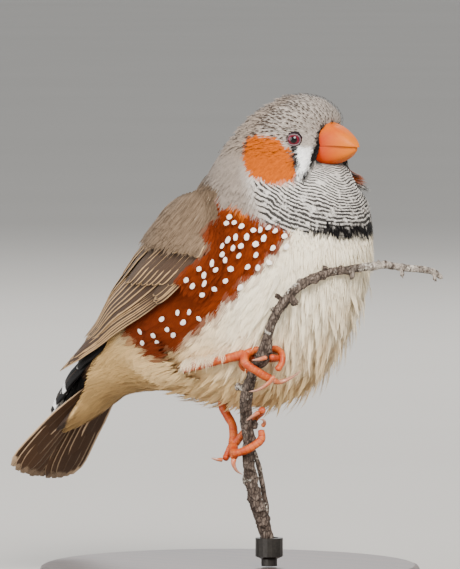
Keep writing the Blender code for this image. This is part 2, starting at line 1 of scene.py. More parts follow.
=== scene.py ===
"""Looks of the zebra finch on its twig: skin, plumage, wings, tail, head, feet, bark and stand.

Shapes are worked out in millimetres in the bird's own frame (it faces +X, its right side is -Y) and
become metres in the row's frame when a mesh is made.
"""

import dataclasses
import json
import math

import bmesh
import bpy
import numpy as np
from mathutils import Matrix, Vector, noise

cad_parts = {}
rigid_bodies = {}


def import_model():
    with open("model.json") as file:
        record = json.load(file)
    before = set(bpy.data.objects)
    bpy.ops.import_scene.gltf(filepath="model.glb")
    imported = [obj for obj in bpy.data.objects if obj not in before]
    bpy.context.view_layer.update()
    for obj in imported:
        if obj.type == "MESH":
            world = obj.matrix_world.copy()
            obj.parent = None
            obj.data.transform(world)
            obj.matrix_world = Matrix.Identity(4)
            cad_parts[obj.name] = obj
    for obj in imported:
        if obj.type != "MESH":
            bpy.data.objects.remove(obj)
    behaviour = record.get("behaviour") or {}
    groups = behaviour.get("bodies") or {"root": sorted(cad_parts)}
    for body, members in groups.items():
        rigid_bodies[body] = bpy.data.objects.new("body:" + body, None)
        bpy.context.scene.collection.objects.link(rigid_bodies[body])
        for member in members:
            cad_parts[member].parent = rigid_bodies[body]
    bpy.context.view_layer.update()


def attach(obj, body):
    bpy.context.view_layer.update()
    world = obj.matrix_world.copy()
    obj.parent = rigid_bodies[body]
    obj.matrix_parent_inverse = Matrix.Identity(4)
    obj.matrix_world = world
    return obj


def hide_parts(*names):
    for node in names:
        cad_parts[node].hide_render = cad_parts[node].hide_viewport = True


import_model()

MM = 0.001
BIRD_AT = np.array((0.0, 0.0, 58.0))
LEFT, RIGHT = 1, -1
SIDES = ((LEFT, "l"), (RIGHT, "r"))

# The trunk's rings from the tail coverts to the crown: x, z, tilt, back, belly, side, narrow
STATIONS = np.array([
    (-41.0, -29.5, 45.0, 1.0, 1.2, 5.0, 0.0),
    (-35.0, -23.6, 45.0, 2.6, 3.6, 6.5, 0.0),
    (-28.5, -17.6, 45.0, 4.4, 6.2, 8.0, 0.0),
    (-21.0, -13.5, 46.0, 8.0, 10.5, 10.5, 0.0),
    (-13.0, -9.8, 46.0, 12.2, 18.0, 14.0, 0.0),
    (-5.0, -6.0, 46.0, 15.5, 22.7, 16.7, 0.0),
    (2.0, -0.5, 48.0, 17.4, 23.7, 17.8, 0.0),
    (8.0, 6.5, 56.0, 17.6, 22.3, 17.5, 0.0),
    (11.5, 13.5, 68.0, 16.2, 20.2, 16.2, 0.0),
    (13.0, 19.0, 80.0, 15.5, 16.7, 14.0, 0.02),
    (13.6, 24.0, 88.0, 14.4, 12.4, 11.3, 0.06),
    (13.9, 28.5, 90.0, 12.0, 10.6, 9.9, 0.1),
    (15.3, 32.3, 90.0, 9.2, 9.5, 8.0, 0.08),
    (17.2, 35.0, 88.0, 5.0, 4.9, 4.3, 0.0),
    (17.9, 35.9, 88.0, 0.3, 0.3, 0.3, 0.0),
])
LAST_RING = len(STATIONS) - 1
SKIN_RINGS, SKIN_COLUMNS = 190, 144
BODY_COAT, HEAD_COAT = 0.7, 0.5  # how deep the skin lies under the solids' surface

EYE = (19.75, 5.95, 27.85)
EYE_RADIUS, EYE_TURN = 2.0, 36.0
EYE_ROWS, EYE_COLUMNS = 30, 40
CORNEA_RISE, CORNEA_WIDTH = 0.14, 0.55
LID_RADIUS, LID_THICKNESS, LID_SECTIONS, LID_SIDES = 1.15, 0.13, 48, 10
BILL_ROOT = np.array((24.5, 0.0, 28.0))  # feathers of the head lie away from here
THROAT_ARCS = np.array((25.0, 0.0, 31.0))  # the throat's bars are arcs about this place

WING_EDGE = np.array([
    (1.5, 36.0, 50.0), (2.2, 26.0, 70.0), (3.1, 18.0, 81.0), (4.0, 15.0, 86.0), (5.0, 15.0, 89.0),
    (6.0, 19.0, 92.0), (7.0, 28.0, 93.0), (7.6, 40.0, 88.0), (8.0, 50.0, 80.0), (8.4, 58.0, 70.0),
])
WING_TIP_RISE, WING_DROOP = 2.4, 42.0
BED_BACK, BED_FRONT, BED_RISE = 3.8, 8.4, 0.75  # rings where the wing's bed ends, and its least rise
BED_RINGS, BED_POINTS = 40, 24


def linear(red, green, blue):
    """A colour as seen, 0 to 255, as the renderer's linear values."""
    seen = np.array((red, green, blue), float) / 255
    return tuple(np.where(seen <= 0.04045, seen / 12.92, ((seen + 0.055) / 1.055) ** 2.4))


# Colours of the plumage, from head to tail, then of bill, feet, eyes, twig and stand
GREY = linear(146, 131, 117)
NAPE = linear(140, 127, 115)
CHEEK = (0.45, 0.086, 0.0)
BLACK = (0.004, 0.003, 0.003)
FLECK = linear(62, 50, 42)
WHITE = (0.96, 0.95, 0.92)
THROAT = linear(214, 208, 200)
TUFT = (0.46, 0.10, 0.003)
CHESTNUT = (0.165, 0.021, 0.0)
BELLY = (0.98, 0.87, 0.66)
LOW_BELLY = linear(240, 205, 148)
VENT = linear(207, 169, 110)
MANTLE = linear(124, 103, 82)
QUILL = linear(66, 47, 33)
QUILL_EDGE = linear(192, 156, 112)
TAIL_QUILL, TAIL_EDGE = linear(66, 43, 24), linear(214, 182, 146)
SHAFT = linear(96, 74, 54)
PALE_RIM = linear(178, 158, 132)
SPOT_WHITE = (0.92, 0.84, 0.76)
THIGH_HAIR = linear(238, 216, 180)
# Bill: its red, the lighter orange of its painted highlight, and its streaks
BILL_RED, BILL_HIGHLIGHT_ORANGE, BILL_STREAK = (0.41, 0.022, 0.0), (0.58, 0.145, 0.0), (0.42, 0.028, 0.0)
# Painted shade in the nostrils' hollows
NOSTRIL_SHADE = (0.05, 0.01, 0.005)
LEG_RED, LEG_ORANGE, LEG_LINE = (0.38, 0.040, 0.002), (0.55, 0.12, 0.018), (0.36, 0.035, 0.012)
CLAW_ROOT, CLAW_TIP, CLAW_STREAK = (0.48, 0.11, 0.03), (0.36, 0.19, 0.13), (0.56, 0.30, 0.22)
IRIS_DARK, IRIS_RED, IRIS_EDGE = (0.07, 0.001, 0.008), (0.16, 0.004, 0.018), (0.05, 0.004, 0.006)
PUPIL, EYE_SHADE = (0.002, 0.002, 0.002), (0.012, 0.006, 0.008)
LID_DARK, LID_PALE = linear(62, 46, 50), linear(112, 90, 92)
BARK_DARK, BARK_PALE, CRACK = linear(58, 47, 40), linear(128, 113, 102), linear(36, 27, 22)
LICHEN, WEATHERED = linear(206, 198, 184), linear(190, 180, 168)
WOOD_DARK, WOOD_PALE, WOOD_PORE = linear(60, 39, 26), linear(80, 53, 35), linear(30, 19, 13)
METAL_DARK, METAL_PALE = linear(38, 36, 34), linear(70, 66, 62)

# Outline of the cheek patch about CHEEK_AT, in the plane seen from VIEW_AZIMUTH
CHEEK_AT = (7.2, 22.95)
PUFF_AHEAD, PUFF_UP = 3.2, 1.4  # how far the left cheek's lower corner reaches ahead and up
CHEEK_OUTLINE = np.array((
    (-5.35, 1.2), (-5.35, -0.8), (-4.95, -1.9), (-4.1, -2.8), (-2.3, -4.0), (-0.4, -4.6), (2.4, -4.8),
    (4.8, -4.6), (5.0, -3.8), (4.4, -1.9), (3.9, 0.0), (3.35, 1.5), (2.0, 2.9), (0.5, 4.1), (-1.5, 4.3),
    (-3.6, 4.6), (-4.9, 4.0), (-5.35, 2.9),
))
VIEW_ACROSS, VIEW_UP = (0.788, 0.616), (0.032, 0.041, 0.999)  # x and y across it, and x, y and z up it

# Lines between the plumage's colours: places that are joined, as rings and turns or as turns and rings
VENT_LINE = ((0.3, 0.5, 1.05, 1.8, 2.4), (165, 150, 125, 100, 84))
BILL_LINE = ((9.3, 9.47, 9.72, 10.41, 11.16, 11.5, 11.9), (137, 139, 146.5, 159.5, 169.5, 176, 184))
CHIN_LINE = ((140, 150, 165, 180), (9.70, 9.82, 9.93, 9.97))
FLANK_LINE = ((3.6, 3.9, 4.35, 5.4, 5.84, 6.24, 6.74, 7.06, 7.58, 8.0, 8.3),
              (88, 99, 108, 109, 111, 113.5, 115.5, 117, 124, 130, 132))
NECK_LINE = ((0, 55, 70, 83, 90, 99, 112, 126, 141, 162, 180),
             (8.6, 8.55, 8.3, 8.02, 8.18, 8.21, 8.21, 8.29, 8.42, 8.5, 8.54))
THROAT_LINE = ((99, 111, 126, 141, 162, 180), (8.2, 8.2, 8.22, 8.22, 8.22, 8.27))
BARS_SIDE = ((8.2, 8.5, 8.8, 9.0, 9.3, 9.6, 10.3), (114, 111, 107, 102, 96, 92, 88))
BARS_TOP = ((84, 108, 130, 150, 180), (8.95, 9.4, 9.6, 9.9, 10.3))
BAND_RISE = ((120, 140, 155), (-0.16, -0.1, 0.02))
STRIPE_LINE = ((9.3, 9.42, 9.72, 10.07, 10.29, 10.54, 10.8), (131.4, 131.3, 131, 130.4, 129.8, 129, 128.2))
STRIPE_HALF = ((9.42, 9.72, 10.07, 10.29, 10.54), (1.5, 1.8, 2.1, 2.6, 3.3))
WHITE_LINE = ((9.3, 9.45, 9.7, 9.9, 10.3, 10.5, 10.58, 10.8, 11.12, 11.29, 11.61),
              (133.0, 135.3, 139.5, 143.5, 147, 148.5, 151.5, 152.5, 153.5, 156, 160.5))
SCAPULAR_FRONT = ((6.2, 6.6, 6.95, 7.1, 7.41, 7.76, 8.21, 8.63), (88, 89, 92, 89, 84, 86, 86.5, 96))
SCAPULAR_EDGE = ((30, 43, 54, 73, 86, 93, 98), (5.5, 5.72, 5.97, 6.56, 6.86, 7.06, 7.3))


def along_line(line, at):
    """Where one of the lines above lies, at each ring or turn."""
    return np.interp(at, *line)


def curve(table, t):
    """Catmull-Rom through the rows of table at each t, counted in rows."""
    table = np.asarray(table, float)
    last = len(table) - 1
    t = np.clip(np.asarray(t, float), 0, last)
    i = np.minimum(t.astype(int), last - 1)
    f = (t - i)[..., None]
    padded = np.vstack([2 * table[0] - table[1], table, 2 * table[-1] - table[-2]])
    p0, p1, p2, p3 = (padded[i + k] for k in range(4))
    return 0.5 * (2 * p1 + (p2 - p0) * f + (2 * p0 - 5 * p1 + 4 * p2 - p3) * f ** 2
                  + (3 * p1 - p0 - 3 * p2 + p3) * f ** 3)


def trunk(t, turn, lift=0.0):
    """Points over the trunk. turn is degrees from the middle of the back, positive on the left."""
    t, turn, lift = np.broadcast_arrays(*(np.asarray(value, float) for value in (t, turn, lift)))
    x, z, tilt, back, belly, side, narrow = np.moveaxis(curve(STATIONS, t), -1, 0)
    tilt, turn = np.radians(tilt), np.radians(turn)
    ventral = -np.cos(turn)
    size = np.where(ventral > 0, belly, back)
    depth = np.maximum(size + lift, 0.3 * size) * ventral
    width = np.maximum(side + lift, 0.3 * side) * (1 - narrow * np.maximum(ventral, 0) ** 2) * np.sin(turn)
    return np.stack([x + np.sin(tilt) * depth, width, z - np.cos(tilt) * depth], -1)


def unit(vectors):
    return vectors / np.maximum(np.linalg.norm(vectors, axis=-1, keepdims=True), 1e-9)


def circle(count):
    """Equal angles round a circle."""
    return 2 * math.pi * np.arange(count) / count


def between(pair, f):
    return pair[0] + (pair[1] - pair[0]) * f


def trunk_frame(t, turn, lift=0.0):
    """Place, outward normal and the way towards the tail at each point over the trunk."""
    here = trunk(t, turn, lift)
    tailward = unit(trunk(t - 0.03, turn, lift) - trunk(t + 0.03, turn, lift))
    around = unit(trunk(t, turn + 1.0, lift) - trunk(t, turn - 1.0, lift))
    out = unit(np.cross(-tailward, around))
    return here, out, tailward


def smooth(value, low, high):
    """0 below low, 1 above high, and an S between them; low may be the greater."""
    f = np.clip((value - low) / (high - low), 0, 1)
    return f * f * (3 - 2 * f)


def sheet(down, along):
    """The row value and the column value at every point of a grid, row by row."""
    rows, columns = np.broadcast_arrays(down[:, None], along[None, :])
    return rows.ravel(), columns.ravel()


def far_from_bill(p):
    """0 beside the bill's root, 1 where the feathers have their full size."""
    return smooth(np.linalg.norm(p - BILL_ROOT, axis=-1), 4.5, 12.0)


def mix(a, b, f):
    f = np.asarray(f, float)[..., None]
    return np.asarray(a) * (1 - f) + np.asarray(b) * f


def vent_edge(t):
    """The turn above which the buff feathers under the tail grow, at each ring."""
    return along_line(VENT_LINE, t)


def behind_bill(t, phi):
    """1 where the bill covers the skin: above the chin and inside the bill's root."""
    chin, edge = along_line(CHIN_LINE, phi), along_line(BILL_LINE, t)
    return smooth(phi, edge - 1.5, edge + 2.5) * smooth(t, chin - 0.05, chin + 0.05)


def coat_depth(t, turn):
    """How far the skin lies under the plumage's surface.

    It is hollow behind the bill, beside the tail's root and under the left cheek, and flatter on the nape.
    """
    phi = np.abs(turn)
    depth = BODY_COAT + (HEAD_COAT - BODY_COAT) * smooth(t, 8.6, 10.4) + 1.7 * behind_bill(t, phi)
    depth += 2.8 * smooth(t, 2.5, 1.4) * smooth(np.abs(phi - 85), 50, 20)
    depth += 1.15 * smooth(t, 10.0, 11.2) * smooth(t, 13.4, 12.6) * smooth(phi, 95, 60)
    left_cheek = (turn > 0) * smooth(np.abs(phi - 146), 18, 8) * smooth(t, 9.1, 9.4) * smooth(t, 10.1, 9.85)
    return depth + 1.1 * left_cheek


def waviness(p, scale):
    """A slow, smooth unevenness between about -1 and 1."""
    x, y, z = np.moveaxis(p / scale, -1, 0)
    return (np.sin(x * 1.9 + 1.3 * np.sin(z * 1.1 + 0.4)) + np.sin(y * 2.3 + 1.1 * np.sin(x * 1.7))
            + np.sin(z * 2.1 + 1.7 * np.sin(y * 1.3 + 2.0))) / 3


def cheek_patch(p):
    """0 in the middle of the orange cheek, 1 on its outline and more outside it.

    The left cheek's lower corner, puffed out, reaches further forward.
    """
    x, y, z = np.moveaxis(p, -1, 0)
    left, side = y > 0, np.abs(y)
    across = VIEW_ACROSS[0] * x - VIEW_ACROSS[1] * side - CHEEK_AT[0]
    across = across - PUFF_AHEAD * left * smooth(z, 22.5, 20.0)
    up = VIEW_UP[2] * z - VIEW_UP[0] * x - VIEW_UP[1] * side - CHEEK_AT[1]
    up = up + PUFF_UP * left * smooth(z, 21.5, 19.0)
    angles = np.arctan2(CHEEK_OUTLINE[:, 1], CHEEK_OUTLINE[:, 0])
    reach = np.hypot(CHEEK_OUTLINE[:, 0], CHEEK_OUTLINE[:, 1])
    return np.hypot(across, up) / np.interp(np.arctan2(up, across), angles, reach, period=2 * math.pi)


def paint_body(t, phi, ragged, soft):
    """Belly, flank, back and rump; also the strength of pale feather edges and of the flank's spots."""
    colour = np.ones((*t.shape, 3)) * BELLY
    colour = mix(colour, LOW_BELLY, smooth(t + 0.3 * soft - 0.012 * (phi - 110), 6.9, 4.4))
    colour = mix(colour, VENT, smooth(t + 0.25 * soft, 4.3, 2.9))
    colour = mix(colour, QUILL, smooth(phi, vent_edge(t) - 6, vent_edge(t) - 14) * smooth(t, 2.9, 2.5))
    # Chestnut flank: from the wing down to a slanting line, with an orange tuft at its front
    low_line = along_line(FLANK_LINE, t)
    flank = smooth(phi + 2.2 * ragged, low_line + 1.5, low_line - 2.5)
    flank *= smooth(t + 0.12 * ragged, 3.75, 4.0) * smooth(t + 0.1 * ragged, 8.42, 8.25)
    flank *= smooth(phi, 66, 76)
    colour = mix(colour, CHESTNUT, flank)
    tuft = flank * smooth(t + 0.06 * ragged, 8.0, 8.14) * smooth(np.abs(phi - 95 + 2 * ragged), 9, 6)
    colour = mix(colour, TUFT, tuft)
    spots = flank * smooth(phi, 76, 84) * (1 - smooth(tuft, 0.15, 0.5))
    # Mantle, back and the rump, which is pale in its middle and dark at its sides
    mantle = smooth(phi + 3 * ragged, 92, 80) * smooth(t, 3.5, 4.0) * (1 - flank)
    colour = mix(colour, MANTLE, mantle)
    rump = smooth(phi + 4 * ragged, 62, 52) * smooth(t, 3.9, 3.5)
    colour = mix(colour, BLACK, rump * smooth(phi + 4 * ragged, 26, 36))
    colour = mix(colour, WHITE, rump * smooth(phi + 4 * ragged, 36, 26))
    return colour, 0.75 * mantle, spots


def paint_neck(colour, t, phi, ragged, soft, fine):
    """Neck, pale throat and breast band; also where neck and throat are, and the throat's bars."""
    side_line = along_line(NECK_LINE, phi)
    neck = smooth(t + 0.05 * ragged + 0.03 * fine, side_line - 0.07, side_line + 0.07)
    low_edge = along_line(THROAT_LINE, phi)
    throat = smooth(t + 0.03 * ragged + 0.03 * fine, low_edge - 0.05, low_edge + 0.03)
    bars_from = along_line(BARS_SIDE, t)
    throat *= smooth(phi + 3 * soft, bars_from - 14, bars_from + 8)
    colour = mix(colour, NAPE, neck)
    colour = mix(colour, THROAT, throat * np.maximum(neck, smooth(phi, 104, 112)))
    bars_top = along_line(BARS_TOP, phi)
    bars = throat * smooth(phi + 4 * soft, bars_from - 13, bars_from - 3)
    bars = bars * smooth(t, bars_top + 0.1, bars_top - 0.1)
    band_top = side_line + along_line(BAND_RISE, phi)
    band = smooth(t + 0.05 * ragged + 0.05 * fine, band_top + 0.05, band_top - 0.03) * throat
    band = band * smooth(phi + 5 * ragged, 126, 146)
    bars = bars * (1 - 0.6 * band) * (1 + 0.3 * smooth(t, 9.3, 8.5))
    return mix(colour, BLACK, band), neck, throat, bars


def paint_face(colour, t, phi, p, throat, ragged, fine):
    """Grey crown, orange cheek, white stripe and black lines; also where these leave no room for marks."""
    colour = mix(colour, GREY, smooth(t, 9.6, 10.3) * (1 - 0.3 * throat))
    cheek = smooth(cheek_patch(p) + 0.02 * ragged + 0.015 * fine, 1.03, 0.97) * smooth(phi, 38, 48)
    stripe_at, half, inner = (along_line(line, t) for line in (STRIPE_LINE, STRIPE_HALF, WHITE_LINE))
    white = smooth(phi, stripe_at, stripe_at + 1.5) * smooth(t + 0.03 * ragged, 9.36, 9.46)
    white *= smooth(t + 0.04 * ragged + 0.03 * fine, 10.6, 10.45) * smooth(phi, inner + 1, inner - 1)
    stripe = smooth(np.abs(phi - stripe_at) + 0.4 * fine, half + 0.6, half - 0.3)
    stripe *= smooth(t, 9.3, 9.42) * smooth(t, 10.8, 10.6)
    root = smooth(phi + 0.6 * fine, inner - 0.7, inner + 0.7) * smooth(t, 9.27, 9.4) * smooth(t, 11.75, 11.5)
    root = root * np.maximum(smooth(phi, inner + 7.0, inner + 5.4), smooth(t, 9.85, 10.0))
    lines = np.clip(stripe + root, 0, 1) * smooth(phi, 100, 112)
    for paint, amount in ((CHEEK, cheek), (WHITE, white), (BLACK, lines)):
        colour = mix(colour, paint, amount)
    return colour, np.clip(cheek + white + stripe + root, 0, 1)


def markings(t, turn, p):
    """Colour (with the strength of pale feather edges as alpha) and marks: bars, spots, speckles."""
    phi = np.abs(turn)
    ragged, soft, fine = waviness(p, 1.1), waviness(p, 3.0), waviness(p, 0.45)
    colour, edge, spots = paint_body(t, phi, ragged, soft)
    colour, neck, throat, bars = paint_neck(colour, t, phi, ragged, soft, fine)
    colour, bare = paint_face(colour, t, phi, p, throat, ragged, fine)
    speckles = smooth(t, 9.5, 10.9) * smooth(phi, 132, 118) + smooth(t, 11.0, 11.5)
    speckles = np.clip(speckles, 0, 1) * (0.3 + 0.7 * smooth(p[..., 0], 7.5, 13.5))
    marks = np.stack([bars * (1 - bare), spots * (1 - throat), speckles * (1 - bare)], -1)
    return np.concatenate([colour, (edge * (1 - neck))[..., None]], -1), marks


def lie_of(t, turn, p, out, tailward):
    """Which way the plumage lies: away from the bill on the head, tailwards and down elsewhere."""
    from_bill = unit(p - BILL_ROOT)
    head = smooth(t, 9.0, 10.6)[..., None]
    phi = np.abs(turn)
    hang = (smooth(phi, 125, 165) * smooth(t, 3.8, 6.0) * smooth(t, 9.0, 7.5))[..., None]
    way = tailward * (1 - head) + from_bill * (head * 1.4) + np.array((0.25, 0, -1.0)) * (hang * 0.9)
    side = np.cross(out, way)
    way = way + side * (0.16 * waviness(p, 2.2))[..., None]
    way -= out * np.sum(way * out, -1, keepdims=True)
    return unit(way)


def to_world(points):
    """Points of the bird's frame as metres in the row's frame."""
    return (np.asarray(points, float) + BIRD_AT) * MM


def mesh_piece(name, points, faces):
    """A mesh object at the origin from points in the bird's frame."""
    mesh = bpy.data.meshes.new(name)
    mesh.from_pydata(to_world(points).tolist(), [], [tuple(face) for face in faces])
    mesh.shade_smooth()
    mesh.update()
    made = bpy.data.objects.new(name, mesh)
    bpy.context.scene.collection.objects.link(made)
    return made


def dress(made, slot, finish=None, *nodes):
    """Puts a piece on the bird's body and in the place of the nodes that it stands for; slot is not used."""
    if finish:
        made.data.materials.append(finish)
    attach(made, "root")
    if nodes:
        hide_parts(*nodes)


def set_attribute(mesh, name, kind, values, domain="POINT"):
    found = mesh.attributes.get(name) or mesh.attributes.new(name, kind, domain)
    field = {"FLOAT": "value", "FLOAT_VECTOR": "vector", "FLOAT_COLOR": "color", "FLOAT2": "vector"}[kind]
    found.data.foreach_set(field, np.ascontiguousarray(values, np.float32).ravel())


def grid_faces(rows, columns, wrap=True):
    """Quads of a grid of rows by columns; with wrap, the last column joins the first."""
    row, column = np.mgrid[0:rows - 1, 0:columns if wrap else columns - 1]
    beside = (column + 1) % columns
    quads = [row * columns + column, row * columns + beside, (row + 1) * columns + beside,
             (row + 1) * columns + column]
    return np.stack(quads, -1).reshape(-1, 4)


def tube_faces(rows, columns, start=0):
    """Faces of a closed tube, its two ends last; start is its first point."""
    ends = [range(columns)[::-1], range((rows - 1) * columns, rows * columns)]
    return [*(grid_faces(rows, columns) + start), *(np.array(end) + start for end in ends)]


def closed_piece(name, rings):
    """A closed piece from rings of points."""
    made = mesh_piece(name, np.concatenate(rings), tube_faces(len(rings), len(rings[0])))
    turn_faces_out(made.data)
    return made


# Node trees


class Nodes:
    """Adds nodes to a tree. A value is a number, a colour, a vector or another node's socket."""

    def __init__(self, tree):
        self.tree = tree

    def feed(self, socket, value):
        if isinstance(value, bpy.types.NodeSocket):
            self.tree.links.new(value, socket)
        else:
            socket.default_value = value

    def add(self, kind, inputs=None, **settings):
        made = self.tree.nodes.new(kind)
        for name, value in settings.items():
            setattr(made, name, value)
        for key, value in (inputs or {}).items():
            self.feed(made.inputs[key], value)
        return made

    def sockets(self, inputs, outputs):
        """Names the tree's own sockets (label, kind, start value); gives those of its two end nodes."""
        for way, rows in (("INPUT", inputs), ("OUTPUT", outputs)):
            for label, kind, *start in rows:
                socket = self.tree.interface.new_socket(label, in_out=way, socket_type="NodeSocket" + kind)
                if start:
                    socket.default_value = start[0]
        return self.add("NodeGroupInput").outputs, self.add("NodeGroupOutput").inputs

    def calc(self, operation, *values):
        return self.add("ShaderNodeMath", dict(enumerate(values)), operation=operation).outputs[0]

    def times(self, first, *others):
        for other in others:
            first = self.calc("MULTIPLY", first, other)
        return first

    def scaled(self, value, scale, offset):
        return self.calc("MULTIPLY_ADD", value, scale, offset)

    def vector(self, operation, a, b):
        return self.add("ShaderNodeVectorMath", {0: a, 1: b}, operation=operation).outputs

    def parts(self, vector):
        """The X, Y and Z of a vector."""
        return self.add("ShaderNodeSeparateXYZ", {0: vector}).outputs

    def ramp(self, value, low, high):
        """0 at low and 1 at high, with an S between them; low may be the greater."""
        return self.add("ShaderNodeMapRange", {"Value": value, "From Min": low, "From Max": high},
                        interpolation_type="SMOOTHSTEP").outputs[0]

    def blend(self, factor, a, b, kind="MIX"):
        """Colour a where the factor is 0 and colour b where it is 1."""
        made = self.add("ShaderNodeMix", data_type="RGBA", blend_type=kind)
        self.feed(made.inputs[0], factor)
        for index, colour in ((6, a), (7, b)):
            linked = isinstance(colour, bpy.types.NodeSocket)
            self.feed(made.inputs[index], colour if linked else (*colour[:3], 1.0))
        return made.outputs[2]

    def toned(self, colour, *tones):
        """The colour, made darker by each tone in turn."""
        tone = self.times(*tones)
        grey = self.add("ShaderNodeCombineColor", {0: tone, 1: tone, 2: tone}).outputs[0]
        return self.blend(1.0, colour, grey, "MULTIPLY")

    def grain(self, vector, scale, detail=3.0, rough=0.55):
        return self.add("ShaderNodeTexNoise", {"Vector": vector, "Scale": scale, "Detail": detail,
                                               "Roughness": rough}).outputs["Fac"]

    def cell_edges(self, vector, scale):
        """Distance from the edges between small cells."""
        return self.add("ShaderNodeTexVoronoi", {"Vector": vector, "Scale": scale},
                        feature="DISTANCE_TO_EDGE").outputs["Distance"]

    def group(self, which, **values):
        return self.add("ShaderNodeGroup", values, node_tree=which).outputs

    def attribute(self, name, output="Vector"):
        return self.add("ShaderNodeAttribute", attribute_name=name).outputs[output]

    def position(self):
        return self.add("ShaderNodeTexCoord").outputs["Object"]


def bars_group():
    """Fine dark wavy bars, arcs about one place; Mask is 1 on a bar."""
    n = Nodes(bpy.data.node_groups.new("Throat bars", "ShaderNodeTree"))
    given, out = n.sockets((("Vector", "Vector"), ("Count", "Float", 35.0), ("Amount", "Float", 1.0)),
                           (("Mask", "Float"),))
    place, amount = given["Vector"], given["Amount"]
    away = n.vector("DISTANCE", place, tuple(to_world(THROAT_ARCS)))["Value"]
    moved = n.scaled(n.grain(place, 130.0, 1.0), 2.6, n.times(away, 1 / MM))
    moved = n.scaled(n.grain(place, 480.0, 3.0), 0.9, moved)
    turns = n.times(n.calc("LOGARITHM", n.calc("ADD", moved, 5.0), math.e), given["Count"])
    wave = n.calc("SINE", n.times(turns, 2 * math.pi))
    wave = n.scaled(n.calc("SUBTRACT", amount, 1.0), 1.6, wave)
    broken = n.ramp(n.grain(place, 620.0, 2.0), 0.32, 0.46)
    n.feed(out["Mask"], n.times(n.ramp(wave, -0.3, 0.3), broken, n.ramp(amount, 0.1, 0.7)))
    return n.tree


def barbs_group():
    """A vane's barbs and shaft: Line is 1 between barbs, Shaft is 1 along the shaft."""
    n = Nodes(bpy.data.node_groups.new("Barbs", "ShaderNodeTree"))
    given, out = n.sockets((("Across", "Float", 0.0), ("Along", "Float", 0.0), ("Count", "Float", 26.0),
                            ("Slant", "Float", 0.35)), (("Line", "Float"), ("Shaft", "Float")))
    spread = n.calc("ABSOLUTE", given["Across"])
    slanted = n.calc("SUBTRACT", given["Along"], n.times(spread, given["Slant"]))
    n.feed(out["Line"], n.ramp(n.calc("SINE", n.times(slanted, given["Count"], 2 * math.pi)), 0.1, 0.9))
    n.feed(out["Shaft"], n.ramp(spread, 0.07, 0.03))
    return n.tree


def mottle_group():
    """Uneven tone: the colour with soft light and dark patches."""
    n = Nodes(bpy.data.node_groups.new("Mottle", "ShaderNodeTree"))
    given, out = n.sockets((("Color", "Color"), ("Vector", "Vector"), ("Scale", "Float", 200.0),
                            ("Amount", "Float", 0.2)), (("Color", "Color"), ("Fac", "Float")))
    tone = n.grain(given["Vector"], given["Scale"], 4.0)
    dark = n.blend(given["Amount"], given["Color"], (0.0, 0.0, 0.0))
    n.feed(out["Color"], n.blend(n.ramp(tone, 0.35, 0.65), dark, given["Color"]))
    n.feed(out["Fac"], tone)
    return n.tree


THROAT_BARS, BARBS, MOTTLE = bars_group(), barbs_group(), mottle_group()


class Surface(Nodes):
    """The nodes of a new material."""

    def __init__(self, name, roughness, **sockets):
        self.finish = bpy.data.materials.new(name)
        self.finish.use_nodes = True
        super().__init__(self.finish.node_tree)
        self.inputs = self.tree.nodes["Principled BSDF"].inputs
        for key, value in (("Roughness", roughness), *sockets.items()):
            self.inputs[key.replace("_", " ")].default_value = value

    def finished(self, colour, height=None, strength=0.0, distance=0.0):
        """The material, with its colour and, where there is a height, its bumps."""
        self.feed(self.inputs["Base Color"], colour)
        if height is not None:
            made = self.add("ShaderNodeBump", {"Height": height, "Strength": strength, "Distance": distance})
            self.feed(self.inputs["Normal"], made.outputs["Normal"])
        return self.finish


def coat_colour(n, place):
    """The markings that skin and feathers share: their colour, throat bars and crown speckles."""
    marks = n.parts(n.attribute("marks"))
    barred = n.group(THROAT_BARS, Vector=place, Amount=marks["X"])["Mask"]
    seen = n.blend(n.times(barred, 0.93), n.attribute("plumage", "Color"), BLACK)
    flecks = n.ramp(n.grain(place, 1100.0, 2.0), 0.56, 0.66)
    return n.blend(n.times(flecks, marks["Z"], 0.4), seen, FLECK)


def skin_material():
    n = Surface("Plumage under", 0.85)
    place = n.position()
    seen = n.group(MOTTLE, Color=coat_colour(n, place), Vector=place, Scale=900.0, Amount=0.45)["Color"]
    return n.finished(seen, n.grain(place, 1600.0), 0.5, 0.0004)


def feather_material(name, count, root):
    """Plumage: the shared markings, then pale edges, barbs and a darker root in each feather, which is
    painted shade where the feathers overlap.
    """
    n = Surface(name, 0.8, Specular_IOR_Level=0.1, Sheen_Weight=0.03, Sheen_Roughness=0.5)
    vane = n.parts(n.attribute("vane"))
    along = vane["Y"]
    rim = n.calc("MAXIMUM", n.ramp(along, 0.86, 0.97), n.ramp(n.calc("ABSOLUTE", vane["X"]), 0.7, 0.95))
    rim = n.times(rim, n.attribute("plumage", "Alpha"))
    seen = n.blend(rim, coat_colour(n, n.position()), PALE_RIM)
    barbs = n.group(BARBS, Across=vane["X"], Along=along, Count=count)["Line"]
    # Each feather darkens towards its root, down to the tone root: painted shade where the feathers overlap
    seen = n.toned(seen, n.scaled(n.attribute("luck", "Fac"), 0.2, 0.86),
                   n.scaled(n.ramp(along, 0.0, 0.55), 1 - root, root), n.scaled(barbs, -0.1, 1.0))
    return n.finished(seen, barbs, 0.25, 0.0001)


# Feather shapes that the coat repeats: unit length along Y, unit width along X, root at the origin


